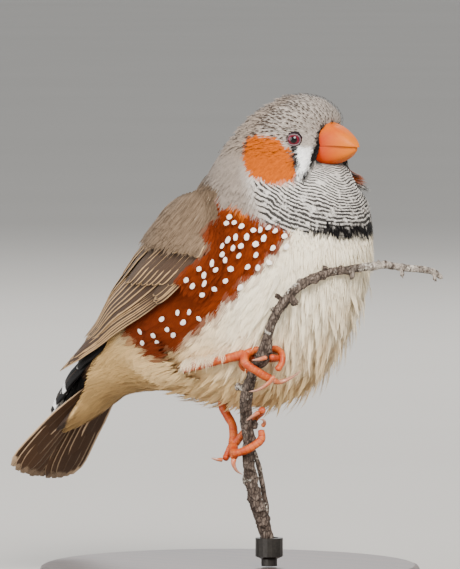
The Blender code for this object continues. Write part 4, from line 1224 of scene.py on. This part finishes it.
def make_tail():
    finish = quill_material("Tail quills", "tail", TAIL_QUILL, TAIL_EDGE, 0.86)
    tail = Feathers(12, 16)
    s = np.linspace(0, 1, tail.rows)
    along = unit(TAIL_TIP - TAIL_ROOT)
    up = np.array((along[2], 0, -along[0]))
    turn = math.radians(TAIL_ROLL)
    draw = np.random.default_rng(50)
    for rank in range(TAIL_PAIRS):
        share = (rank + 0.5) / (TAIL_PAIRS - 0.5)
        for side in (LEFT, RIGHT):
            outward = np.array((0, side * math.cos(turn), 0)) - up * side * math.sin(turn)
            root = TAIL_ROOT + outward * TAIL_ROOT_SPREAD * share - up * TAIL_STEP * rank
            rise = TAIL_CUP * share ** 2 - TAIL_STEP * rank
            tip = TAIL_TIP + outward * TAIL_TIP_SPREAD * share + up * rise
            tip = tip - along * (TAIL_ROUNDING * share ** 2 + 0.3 * draw.random())
            middle = root + (tip - root) * s[:, None] + up * (TAIL_BOW * np.sin(math.pi * s))[:, None]
            tail.add(middle, np.tile(up, (tail.rows, 1)), TAIL_VANE, draw.random(), TAIL_PALE[rank],
                     TAIL_ROLL - side * 2.0, thickness=0.12, tip=0.8, camber=0.05)
    tail.build("feathers_tail", "tail_feathers", finish, "tail")
    barred = Feathers(10, 12)
    s = np.linspace(0, 1, barred.rows)
    for count, spread, root_ring, end_ring, lift, bar in BARRED_ROWS:
        for k in range(count):
            angle = spread * (2 * k / (count - 1) - 1)
            rings = root_ring + (end_ring + 0.3 * abs(angle) / spread - root_ring) * s
            lifts = -0.4 + (lift + 0.4) * np.minimum(s * 1.5, 1.0)
            turns = angle * (1 - 0.2 * s)
            middle = trunk(rings, turns, lifts)
            out = unit(trunk(rings, turns, lifts + 1) - middle)
            barred.add(middle, out, 1.6, draw.random(), bar * (1 - 0.6 * draw.random() * (k % 2)))
    finish = quill_material("Barred coverts", "barred", BLACK, WHITE, 1.2)
    barred.build("feathers_upper_tail", "tail_feathers", finish)


def make_skin():
    made = SKIN.mesh("skin")
    set_attribute(made.data, "OFBake", "FLOAT2", SKIN.unwrap[corner_points(made.data)], "CORNER")
    turn_faces_out(made.data, close=True)
    dress(made, "body_plumage", skin_material(), "head", "neck", "torso")


# Bill, eyes, legs and claws

CULMEN = np.array([
    (20.5, 31.7, 2.8), (22.3, 31.5, 3.0), (24.3, 31.1, 3.15), (26.5, 30.2, 2.85), (28.6, 28.7, 2.0),
    (29.8, 27.4, 1.0), (30.3, 26.8, 0.35),
])
GONYS = np.array([
    (20.7, 22.8, 3.3), (22.5, 22.9, 3.4), (24.5, 23.2, 3.1), (26.5, 23.8, 2.4), (28.4, 24.7, 1.5),
    (29.8, 25.8, 0.4),
])
GAPE_HEIGHT, GAPE_DIP, GAPE_GAP = 26.5, -0.3, 0.03
GAPE_BACK, GAPE_LENGTH = 22.0, 9.0
NOSTRIL, NOSTRIL_RADIUS = np.array((23.6, 2.5, 30.4)), 0.42
BILL_RINGS, BILL_ARC, BILL_FLOOR = 44, 30, 6  # rings of each half, points round its arch and inside
# Where the bill turns a lighter orange, a painted highlight towards its tip and over its top, in metres:
# ahead and above
BILL_HIGHLIGHT_AHEAD, BILL_HIGHLIGHT_ABOVE = (0.0225, 0.0300), (0.0850, 0.0895)


def bill_half(name, table, upper):
    """One mandible: an arch over the gape, or a keel under it."""
    rings = []
    face, wide, high = (1, 0.8, 0.8) if upper else (-1, 0.62, 0.6)
    for t in np.linspace(0, 1, BILL_RINGS) ** 0.85 * (len(table) - 1):
        x, height, width = curve(table, t)
        dip = GAPE_DIP * math.sin(math.pi * min(max((x - GAPE_BACK) / GAPE_LENGTH, 0.0), 1.0))
        line = GAPE_HEIGHT - dip + face * GAPE_GAP
        line = min(line, height - 0.3) if upper else max(line, height + 0.3)
        a = np.linspace(0, math.pi, BILL_ARC)
        y = width * np.sign(np.cos(a)) * np.abs(np.cos(a)) ** wide
        ring = np.stack([np.full(BILL_ARC, x), y, line + (height - line) * np.sin(a) ** high], -1)
        for side in (LEFT, RIGHT):
            near = np.linalg.norm(ring - NOSTRIL * (1, side, 1), axis=-1)
            ring[:, 1] -= side * 0.5 * np.exp(-(near / NOSTRIL_RADIUS) ** 2)
        floor = width * np.linspace(-0.8, 0.8, BILL_FLOOR)
        under = np.stack([np.full(BILL_FLOOR, x), floor, np.full(BILL_FLOOR, line + face * 0.05)], -1)
        rings.append(np.concatenate([ring, under]))
    made = closed_piece(name, rings)
    made.data.set_sharp_from_angle(angle=math.radians(50))
    return made


def bill_material():
    n = Surface("Bill horn", 0.5, Specular_IOR_Level=0.22)
    place = n.position()
    xyz = n.parts(place)
    # Painted highlight: the bill turns a lighter orange towards its tip and over its top
    bill_highlight = n.calc("MAXIMUM", n.times(n.ramp(xyz["X"], *BILL_HIGHLIGHT_AHEAD), 0.9),
                  n.times(n.ramp(xyz["Z"], *BILL_HIGHLIGHT_ABOVE), 0.75))
    seen = n.blend(bill_highlight, BILL_RED, BILL_HIGHLIGHT_ORANGE)
    uneven = n.grain(n.vector("MULTIPLY", place, (0.25, 1.0, 1.0))[0], 900.0, 4.0)
    seen = n.blend(n.times(n.ramp(uneven, 0.5, 0.8), 0.5), seen, BILL_STREAK)
    # Painted shade: each nostril's hollow is darkened
    middles = [tuple(to_world(NOSTRIL * (1, side, 1))) for side in (LEFT, RIGHT)]
    away = [n.vector("DISTANCE", place, middle)["Value"] for middle in middles]
    nostril_shade = n.calc("MAXIMUM", *(n.ramp(value, 0.00055, 0.0003) for value in away))
    seen = n.blend(n.times(nostril_shade, 0.9), seen, NOSTRIL_SHADE)
    return n.finished(seen, uneven, 0.12, 0.0002)


def make_bill():
    finish = bill_material()
    for name, table, upper in (("bill_upper", CULMEN, True), ("bill_lower", GONYS, False)):
        dress(bill_half(name + "_horn", table, upper), "bill", finish, name)


def eye_frame(side):
    """The eye's centre, the way that it looks and two directions square to that."""
    turn = math.radians(EYE_TURN)
    axis = unit(np.array((math.sin(turn), side * math.cos(turn), 0.05)))
    first = unit(np.cross(axis, np.array((0.0, 0.0, 1.0))))
    return eye_centre(side), axis, first, np.cross(axis, first)


def eye_material():
    """Dark red iris round a black pupil; the iris attribute's X is millimetres from the eye's middle."""
    n = Surface("Eye", 0.05, Specular_IOR_Level=0.3)
    iris = n.attribute("iris")
    away = n.parts(iris)["X"]
    seen = n.blend(n.ramp(n.grain(iris, 9.0, 3.0), 0.35, 0.7), IRIS_DARK, IRIS_RED)
    for outer, inner, colour in ((0.78, 0.6, IRIS_EDGE), (0.58, 0.53, PUPIL), (0.96, 1.05, EYE_SHADE)):
        seen = n.blend(n.ramp(away, outer, inner), seen, colour)
    return n.finished(seen)


def lid_material():
    n = Surface("Eye lid", 0.5)
    place = n.position()
    seen = n.blend(n.grain(place, 3000.0), LID_DARK, LID_PALE)
    return n.finished(seen, n.grain(place, 5000.0), 0.4, 0.0001)


def eyeball(name, side):
    """The ball, with the cornea's bulge in front."""
    centre, axis, first, second = eye_frame(side)
    polar, turn = np.linspace(0.02, math.pi - 0.02, EYE_ROWS)[:, None], circle(EYE_COLUMNS)[None, :]
    radius = EYE_RADIUS + CORNEA_RISE * np.exp(-(polar / CORNEA_WIDTH) ** 2)
    points = centre + (axis * (radius * np.cos(polar) + 0 * turn)[..., None]
                       + first * (radius * np.sin(polar) * np.cos(turn))[..., None]
                       + second * (radius * np.sin(polar) * np.sin(turn))[..., None])
    made = closed_piece(name, list(points))
    away = EYE_RADIUS * np.sin(np.minimum(polar, math.pi / 2)) + 0 * turn + (polar > math.pi / 2) * 1.0
    iris = np.stack([away, np.cos(turn) + 0 * polar, np.sin(turn) + 0 * polar], -1)
    set_attribute(made.data, "iris", "FLOAT_VECTOR", iris)
    return made


def eyelid(name, side):
    """The bare ring round the eye, open a little wider along the line to the bill."""
    centre, axis, first, second = eye_frame(side)
    a, b = circle(LID_SECTIONS), circle(LID_SIDES)
    opening = LID_RADIUS + 0.08 * np.abs(np.cos(a)) ** 3 - 0.17 * np.abs(np.sin(a)) ** 3
    out = first * np.cos(a)[:, None] + second * np.sin(a)[:, None]
    height = np.sqrt(EYE_RADIUS ** 2 - opening ** 2 * 0.94)
    middle = centre + out * opening[:, None] + axis * height[:, None]
    thick = LID_THICKNESS + 0.02 * np.sin(a * 14) + 0.05 * np.abs(np.sin(a))
    ring = (middle[:, None] + out[:, None] * (thick[:, None] * np.cos(b))[..., None]
            + axis * (thick[:, None] * np.sin(b))[..., None])
    faces = grid_faces(LID_SECTIONS + 1, LID_SIDES) % (LID_SECTIONS * LID_SIDES)
    made = mesh_piece(name, ring.reshape(-1, 3), faces)
    turn_faces_out(made.data)
    return made


def make_eyes():
    ball, lid = eye_material(), lid_material()
    for side, label in SIDES:
        dress(eyeball("ball_eye_" + label, side), "eye", ball, "eye_" + label)
        dress(eyelid("lid_eye_" + label, side), "leg_skin", lid)


def tube(table, rings, sides, shape=None):
    """Points and faces of a closed tube, and how far along and around it each point is.

    The table's rows are x, y, z and radius; shape(reach, angles, ring) scales a ring.
    """
    rows = curve(table, np.linspace(0, len(table) - 1, rings))
    centres, radii = rows[:, :3], np.maximum(rows[:, 3], 0.05)
    tangents = unit(np.gradient(centres, axis=0))
    normal = unit(np.cross(tangents[0], (0.31, 0.87, 0.12)))
    a = circle(sides)
    reach = np.concatenate([[0], np.cumsum(np.linalg.norm(np.diff(centres, axis=0), axis=1))])
    points, places = [], []
    for i in range(rings):
        normal = unit(normal - tangents[i] * np.dot(normal, tangents[i]))
        out = normal * np.cos(a)[:, None] + np.cross(tangents[i], normal) * np.sin(a)[:, None]
        close = math.sin(math.pi / 2 * min(1.0, (min(i, rings - 1 - i) + 0.35) / 2.5))
        ring = centres[i] + out * radii[i] * close
        if shape:
            ring = centres[i] + out * (radii[i] * close * shape(reach[i], a, ring))[:, None]
        points.append(ring)
        places.append(np.stack([np.full(sides, reach[i]), a, np.full(sides, i / (rings - 1))], -1))
    return np.concatenate(points), tube_faces(rings, sides), np.concatenate(places)


def joined(name, tubes, finish, slot, node):
    """One piece from several tubes; keeps how far along and around each point is."""
    faces, start = [], 0
    for points, own, _ in tubes:
        faces += [np.add(face, start) for face in own]
        start += len(points)
    made = mesh_piece(name, np.concatenate([points for points, _, _ in tubes]), faces)
    turn_faces_out(made.data)
    set_attribute(made.data, "tube", "FLOAT_VECTOR", np.concatenate([places for _, _, places in tubes]))
    dress(made, slot, finish, node)


def from_view(across, towards):
    """x and y of a step across the photo's view and towards the viewer."""
    turn = math.radians(VIEW_AZIMUTH)
    return (math.cos(turn) * across + math.sin(turn) * towards,
            math.sin(turn) * across - math.cos(turn) * towards)


TWIG = np.array([
    (41.1, 11.9, 2.0, 0.4), (39.5, 10.1, 3.4, 0.6), (36.4, 6.4, 4.0, 0.65), (34.0, 3.4, 4.6, 0.65),
    (32.1, 0.0, 4.3, 0.75), (30.3, -4.0, 3.8, 0.7), (29.0, -7.0, 3.5, 0.75), (27.5, -9.9, 2.5, 0.8),
    (25.9, -12.1, 1.1, 0.85), (24.4, -13.2, -0.6, 0.9), (23.0, -14.0, -2.7, 0.9),
    (21.3, -14.2, -5.3, 0.85), (19.9, -14.0, -8.2, 0.85), (18.6, -13.2, -11.1, 1.3),
    (17.6, -12.8, -12.8, 1.25), (15.7, -12.8, -14.7, 0.9), (14.6, -12.3, -16.7, 0.95),
    (13.0, -11.5, -19.2, 1.15), (11.8, -10.3, -22.3, 1.1), (11.1, -9.2, -25.4, 1.1),
    (10.7, -7.9, -28.5, 1.1), (9.9, -7.1, -31.4, 1.1), (9.5, -6.3, -33.9, 1.1), (9.2, -5.3, -36.4, 1.15),
    (9.0, -4.0, -39.6, 1.2), (9.2, -2.4, -42.8, 1.35), (9.4, -1.2, -46.0, 1.2), (9.6, -0.3, -49.0, 1.2),
    (9.6, -0.3, -50.3, 1.2),
])

# Broken twiglets: place along the twig in points, length, radius at its root, across, towards, up
TWIGLETS = (
    (16.8, 2.4, 0.8, -0.9, 0.1, 0.25), (19.1, 2.1, 0.9, 0.95, -0.1, 0.1), (9.6, 2.2, 0.5, -0.8, 0.3, 0.6),
    (9.0, 2.3, 0.8, 0.5, 0.3, -0.8), (10.2, 1.6, 0.45, -0.9, 0.2, -0.1), (4.6, 1.9, 0.5, -0.2, 0.3, -1.0),
    (2.2, 1.8, 0.4, 0.2, 0.2, -1.0), (6.2, 1.5, 0.5, -0.3, 0.4, 0.9), (13.4, 1.6, 0.7, -0.9, 0.1, -0.3),
    (0.8, 1.6, 0.35, 0.2, 0.3, -1.0), (5.4, 1.1, 0.4, 0.3, 0.5, 0.8), (9.9, 1.3, 0.35, -0.3, 0.7, 0.7),
    (3.4, 0.9, 0.4, 0.3, 0.6, 0.8), (15.1, 1.0, 0.5, 0.8, 0.4, 0.3), (23.2, 1.3, 0.55, -0.9, 0.3, 0.2),
    (25.2, 1.2, 0.5, -0.7, 0.5, 0.5),
)
SPLINTER = ((0.0, 0.13), (0.35, 0.08), (0.55, 0.03))  # how far out, and radius
LICHEN_COUNT = 150
WEATHERED_FROM = (0.0300, 0.0345)  # where the twig's upper end turns pale, in metres ahead
SIDE_STEM = np.array([
    (9.7, -1.9, -43.6, 0.7), (10.1, -1.9, -41.6, 0.55), (9.9, -2.3, -39.0, 0.47), (10.1, -3.2, -36.6, 0.47),
    (10.3, -4.4, -33.8, 0.45), (10.4, -6.0, -30.7, 0.42), (10.3, -7.2, -29.2, 0.4),
])

# Feet: points as (across, towards, z) beside the twig's centre line at that height, then the radius
RIGHT_FOOT = {
    "shank": [(-13.2, -6.0, -15.0, 0.85), (-11.0, -4.9, -14.4, 0.85), (-8.0, -3.4, -13.4, 0.8),
              (-3.4, -1.0, -11.9, 0.95)],
    "hind": [(-3.4, -1.0, -11.9, 0.85), (-2.7, 1.6, -13.4, 0.8),
             (0.6, 2.5, -15.0, 0.75), (3.6, 2.2, -16.6, 0.8)],
    "hind_claw": [(3.9, 2.2, -16.7, 0.48), (5.6, 1.6, -17.1, 0.36),
                  (7.6, 0.9, -16.2, 0.2), (8.8, 0.4, -15.0, 0.07)],
    "inner": [(-3.4, -1.0, -11.9, 0.8), (-1.6, -2.6, -11.2, 0.7), (1.4, -2.6, -10.9, 0.65),
              (3.1, -0.6, -11.6, 0.65), (4.0, 1.4, -13.2, 0.6), (4.3, 3.0, -14.9, 0.6)],
    "inner_claw": [(4.1, 3.7, -15.8, 0.42), (3.3, 4.2, -17.3, 0.32),
                   (1.8, 4.2, -18.5, 0.2), (0.2, 3.6, -18.9, 0.07)],
    "middle": [(-3.4, -1.0, -11.9, 0.8), (-1.8, -2.7, -12.8, 0.7), (1.6, -2.5, -12.9, 0.65),
               (2.8, 0.4, -12.6, 0.6), (1.4, 2.2, -12.3, 0.55)],
    "middle_claw": [(0.8, 2.4, -12.3, 0.36), (-0.6, 2.5, -12.7, 0.26), (-1.9, 2.0, -12.9, 0.07)],
    "outer": [(-3.4, -1.0, -11.9, 0.8), (-2.6, -2.6, -14.2, 0.65), (-0.4, -2.8, -15.4, 0.6),
              (1.8, -1.8, -15.6, 0.55)],
    "outer_claw": [(2.2, -1.3, -15.7, 0.38), (2.7, -0.2, -15.9, 0.26), (2.5, 0.9, -15.5, 0.07)],
}
LEFT_FOOT = {
    "shank": [(-4.6, -11.5, -19.5, 1.0), (-4.2, -10.2, -23.0, 0.85), (-2.7, -6.0, -26.2, 0.78),
              (-2.9, -2.4, -29.6, 0.9)],
    "hind": [(-2.9, -2.4, -29.6, 0.85), (-2.8, -0.4, -31.2, 0.8), (-2.6, 1.4, -31.6, 0.65)],
    "hind_claw": [(-2.7, 1.9, -31.9, 0.45), (-2.9, 2.6, -32.9, 0.34),
                  (-2.4, 2.8, -34.2, 0.2), (-1.4, 2.6, -35.0, 0.07)],
    "middle": [(-2.9, -2.4, -29.6, 0.85), (-2.4, 1.2, -30.9, 0.75), (0.4, 2.3, -29.8, 0.75),
               (2.3, 1.6, -28.2, 0.75), (2.6, 0.9, -26.4, 0.6)],
    "middle_claw": [(2.9, 0.9, -25.8, 0.38), (3.4, 1.3, -25.1, 0.28),
                    (3.2, 1.9, -24.5, 0.17), (2.5, 2.2, -24.3, 0.07)],
    "inner": [(-2.9, -2.4, -29.6, 0.85), (-0.9, -2.6, -27.4, 0.7), (1.4, -2.5, -24.8, 0.65),
              (2.9, -0.9, -23.2, 0.65), (3.0, 1.4, -22.6, 0.65)],
    "inner_claw": [(2.5, 2.1, -22.9, 0.38), (1.4, 2.4, -23.6, 0.27), (0.0, 2.2, -24.6, 0.07)],
    "outer": [(-2.9, -2.4, -29.6, 0.85), (-3.9, -1.6, -31.4, 0.7), (-4.4, -0.4, -32.3, 0.55)],
    "outer_claw": [(-4.9, 0.1, -32.3, 0.36), (-5.9, 0.6, -32.2, 0.24), (-7.0, 0.8, -31.9, 0.07)],
}
SCUTE, FOOT_STEP, CLAW_SWELL = 0.85, 0.15, 1.25  # a plate's length, a ring's step, how much thicker claws are


def beside_twig(point):
    """A place of a foot as x, y, z and radius."""
    across, towards, z, radius = point
    rows = TWIG[::-1][:20]
    x, y = from_view(across, towards)
    return (np.interp(z, rows[:, 2], rows[:, 0]) + x, np.interp(z, rows[:, 2], rows[:, 1]) + y, z, radius)


def scutes(along, angle, _):
    """Overlapping plates along a toe or shank, with a joint's swelling now and then."""
    plate = 0.07 * (1 - (along / SCUTE) % 1.0) ** 0.6 - 0.03
    pads = 0.05 * np.sin(along / SCUTE * 1.9) * (np.cos(angle) < 0)
    return 1.0 + plate + pads


def leg_material():
    n = Surface("Leg skin", 0.42, Specular_IOR_Level=0.4)
    place = n.position()
    step = n.calc("FRACT", n.calc("DIVIDE", n.parts(n.attribute("tube"))["X"], SCUTE))
    joint = n.calc("MAXIMUM", n.ramp(step, 0.16, 0.03), n.ramp(step, 0.86, 0.99))
    base = n.blend(n.ramp(n.grain(place, 500.0), 0.35, 0.68), LEG_RED, LEG_ORANGE)
    lines = n.ramp(n.cell_edges(place, 2300.0), 0.09, 0.02)
    dark = n.calc("MAXIMUM", n.times(joint, 0.7), n.times(lines, 0.35))
    return n.finished(n.blend(dark, base, LEG_LINE), n.times(dark, -1.0), 0.5, 0.00012)


def claw_material():
    n = Surface("Claw horn", 0.3, Coat_Weight=0.2)
    base = n.blend(n.ramp(n.parts(n.attribute("tube"))["Z"], 0.1, 0.9), CLAW_ROOT, CLAW_TIP)
    streak = n.ramp(n.grain(n.position(), 1500.0, 2.0), 0.5, 0.8)
    return n.finished(n.blend(streak, base, CLAW_STREAK))


def make_legs():
    skin, horn = leg_material(), claw_material()
    for label, foot in (("r", RIGHT_FOOT), ("l", LEFT_FOOT)):
        tubes = []
        for part, points in foot.items():
            rows = [beside_twig(p) for p in points]
            if part.endswith("_claw"):
                name = f"claw_{label}_{part[:-5]}"
                rows = [(*row[:3], row[3] * (CLAW_SWELL if k < 3 else 1.0)) for k, row in enumerate(rows)]
                joined(name + "_horn", [tube(rows, 22, 14)], horn, "claw", name)
                continue
            reach = sum(math.dist(a[:3], b[:3]) for a, b in zip(rows, rows[1:]))
            tubes.append(tube(rows, int(reach / FOOT_STEP), 16, scutes))
            if part != "shank":
                pad = (*rows[-1][:3], rows[-1][3] * 1.02)
                tubes.append(tube([(*rows[-2][:3], 0.2), pad], 8, 12))
        joined("foot_" + label, tubes, skin, "leg_skin", "leg_" + label)


def twiglet(place, length, radius, across, towards, up):
    """The rows of a broken twiglet, swollen near its end, and the way that it grows."""
    start = curve(TWIG, place)[:3]
    way = unit(np.array((*from_view(across, towards), up)))
    side = unit(np.cross(way, (0.3, 0.5, 0.8)))
    steps = ((0.0, 0.0, 1.1), (0.55, 0.1, 0.85), (0.8, 0.0, 0.95), (1.0, 0.0, 0.6))
    rows = [(*(start + way * length * s + side * aside), radius * r) for s, aside, r in steps]
    return rows, start + way * length * 0.9, way


def lichen(draw, corners=9):
    """A small curled plate on the bark."""
    place = draw.uniform(0.5, 26.5)
    row = curve(TWIG, place)
    tangent = unit(curve(TWIG, place + 0.05)[:3] - curve(TWIG, place - 0.05)[:3])
    out = unit(np.cross(tangent, draw.standard_normal(3)))
    across = np.cross(out, tangent)
    centre = row[:3] + out * row[3] * 0.98
    size = draw.uniform(0.12, 0.34)
    a = circle(corners)
    rim = size * (1 + 0.25 * draw.standard_normal(corners).clip(-1, 1))
    ring = centre + (across * np.cos(a)[:, None] + tangent * np.sin(a)[:, None]) * rim[:, None]
    curled = ring + out * 0.10 * draw.random((corners, 1))
    points = np.concatenate([ring - out * 0.06, curled, [centre + out * 0.09]])
    top = 2 * corners
    fan = ((corners + k, corners + (k + 1) % corners, top) for k in range(corners))
    faces = [*grid_faces(2, corners), *fan, range(corners)[::-1]]
    return points, faces, np.zeros((top + 1, 3))


def bark(strength):
    """Ridges along the twig, rings of old bud scars and small knobs."""
    def shape(along, angle, ring):
        ridges = 0.045 * np.sin(5 * angle + 1.3 * math.sin(along * 0.6))
        ridges = ridges + 0.03 * np.sin(11 * angle + along * 0.9)
        rough = np.array([noise.fractal(Vector(p * (1.1, 1.1, 0.8)), 0.8, 2.1, 4) for p in ring])
        knobs = np.array([max(noise.noise(Vector(p * 0.75 + 9.0)) - 0.28, 0) for p in ring])
        scar = 0.07 * math.exp(-((along % 5.3 - 2.6) / 0.22) ** 2)
        return 1.0 + strength * (ridges + 0.13 * rough + 0.9 * knobs + scar)
    return shape


def bark_material():
    """Grey bark with cracks, crusts of pale lichen and a weathered upper end."""
    n = Surface("Bark", 0.9, Specular_IOR_Level=0.2)
    place = n.position()
    flat = n.vector("MULTIPLY", place, (1.0, 1.0, 0.4))[0]
    coarse = n.grain(flat, 900.0, 6.0, 0.7)
    seen = n.blend(n.ramp(coarse, 0.33, 0.7), BARK_DARK, BARK_PALE)
    crack = n.ramp(n.cell_edges(flat, 1700.0), 0.16, 0.03)
    seen = n.blend(n.times(crack, 0.6), seen, CRACK)
    crust = n.times(n.ramp(n.grain(place, 330.0, 3.0), 0.56, 0.66),
                    n.ramp(n.grain(place, 2200.0, 2.0), 0.42, 0.58))
    seen = n.blend(n.times(crust, 0.8), seen, LICHEN)
    weathered = n.times(n.ramp(n.parts(place)["X"], *WEATHERED_FROM), n.ramp(coarse, 0.36, 0.6))
    seen = n.blend(n.times(weathered, 0.6), seen, WEATHERED)
    height = n.calc("SUBTRACT", n.calc("ADD", coarse, n.times(crust, 0.4)), crack)
    return n.finished(seen, height, 0.7, 0.0003)


def wood_material():
    n = Surface("Stand wood", 0.35, Coat_Weight=0.3, Coat_Roughness=0.2)
    place = n.vector("MULTIPLY", n.position(), (0.18, 1.0, 1.0))[0]
    rings = n.add("ShaderNodeTexWave", {"Vector": place, "Scale": 70.0, "Distortion": 9.0, "Detail": 4.0},
                  bands_direction="Y")
    pores = n.grain(place, 2500.0, 4.0)
    seen = n.blend(rings.outputs["Fac"], WOOD_DARK, WOOD_PALE)
    return n.finished(n.blend(n.ramp(pores, 0.6, 0.75), seen, WOOD_PORE), pores, 0.15, 0.0002)


def metal_material():
    n = Surface("Stand metal", 0.38, Metallic=0.85)
    fine = n.grain(n.position(), 1800.0, 3.0)
    return n.finished(n.blend(fine, METAL_DARK, METAL_PALE), fine, 0.1, 0.0001)


def make_twig():
    draw = np.random.default_rng(70)
    tubes = [tube(TWIG, 420, 26, bark(1.0)), tube(SIDE_STEM, 110, 16, bark(0.8))]
    for values in TWIGLETS:
        rows, end, way = twiglet(*values)
        tubes.append(tube(rows, 22, 14, bark(1.3)))
        for _ in range(3):
            splinter = unit(way + 0.5 * draw.standard_normal(3))
            rows = [(*(end + splinter * far), radius) for far, radius in SPLINTER]
            tubes.append(tube(rows, 6, 6))
    tubes += [lichen(draw) for _ in range(LICHEN_COUNT)]
    joined("twig", tubes, bark_material(), "bark", "perch_twig")


def make_stand():
    """Dark turned wood and blackened metal on the stand's own meshes."""
    for name, finish in (("stand_base", wood_material()), ("stand_rod", metal_material())):
        for obj in bpy.data.objects:
            if obj.type == "MESH" and obj.name.split(".")[0] == name:
                for slot in obj.material_slots:
                    slot.material = finish


# Camera, light and floor

VIEW_AZIMUTH, VIEW_ELEVATION, VIEW_DISTANCE = 38.0, 3.0, 1.5  # the photo's view: degrees, degrees, metres
PHOTO_HEIGHT, PIXELS_PER_MM = 569, 5.3
SENSOR, FAR_CLIP = 36.0, 20.0
# Lamps: name, place, size, power and colour
LAMPS = (
    ("Key", (0.75, -0.55, 0.75), 0.5, 24.0, (1.0, 0.97, 0.93)),
    ("Fill", (-0.2, -0.9, 0.35), 0.8, 9.0, (0.97, 0.98, 1.0)),
    ("Rim", (-0.6, 0.7, 0.8), 0.5, 11.0, (1.0, 1.0, 1.0)),
)
LAMPS_AIM = Vector((0, 0, 0.055))
SKY, SKY_STRENGTH = (0.82, 0.84, 0.86, 1), 0.9
FLOOR_RADIUS, FLOOR_CORNERS = 14.0, 64
FLOOR_DARK, FLOOR_PALE = (0.40, 0.38, 0.35), (0.44, 0.42, 0.39)


def make_camera():
    a, e = math.radians(VIEW_AZIMUTH), math.radians(VIEW_ELEVATION)
    way = Vector((math.sin(a) * math.cos(e), -math.cos(a) * math.cos(e), math.sin(e)))
    data = bpy.data.cameras.new("Camera")
    data.sensor_width = SENSOR
    data.lens = SENSOR * VIEW_DISTANCE * 1000 * PIXELS_PER_MM / PHOTO_HEIGHT
    data.clip_end = FAR_CLIP
    made = bpy.data.objects.new("Camera", data)
    made.location = Vector(BIRD_AT * MM) + way * VIEW_DISTANCE
    made.rotation_euler = way.to_track_quat("Z", "Y").to_euler()
    bpy.context.scene.collection.objects.link(made)
    bpy.context.scene.camera = made


def lamp(name, place, size, power, colour):
    data = bpy.data.lights.new(name, "AREA")
    data.shape, data.size, data.energy, data.color = "DISK", size, power, colour
    made = bpy.data.objects.new(name, data)
    made.location = place
    made.rotation_euler = (Vector(place) - LAMPS_AIM).to_track_quat("Z", "Y").to_euler()
    bpy.context.scene.collection.objects.link(made)


def make_studio():
    world = bpy.data.worlds.new("Studio")
    world.use_nodes = True
    sky = world.node_tree.nodes["Background"].inputs
    sky["Color"].default_value = SKY
    sky["Strength"].default_value = SKY_STRENGTH
    bpy.context.scene.world = world
    for row in LAMPS:
        lamp(*row)
    # Round, level floor, wide enough to fill the view
    a = circle(FLOOR_CORNERS)
    points = FLOOR_RADIUS * np.stack([np.cos(a), np.sin(a), 0 * a], -1)
    mesh = bpy.data.meshes.new("floor")
    mesh.from_pydata(points.tolist(), [], [tuple(range(FLOOR_CORNERS))])
    floor = bpy.data.objects.new("floor", mesh)
    bpy.context.scene.collection.objects.link(floor)
    n = Surface("Studio floor", 0.95)
    mesh.materials.append(n.finished(n.blend(n.grain(n.position(), 5.0, 2.0), FLOOR_DARK, FLOOR_PALE)))


make_camera()
make_studio()
make_skin()
make_wings()
make_tail()
make_bill()
make_eyes()
make_legs()
make_twig()
make_stand()
make_coat()
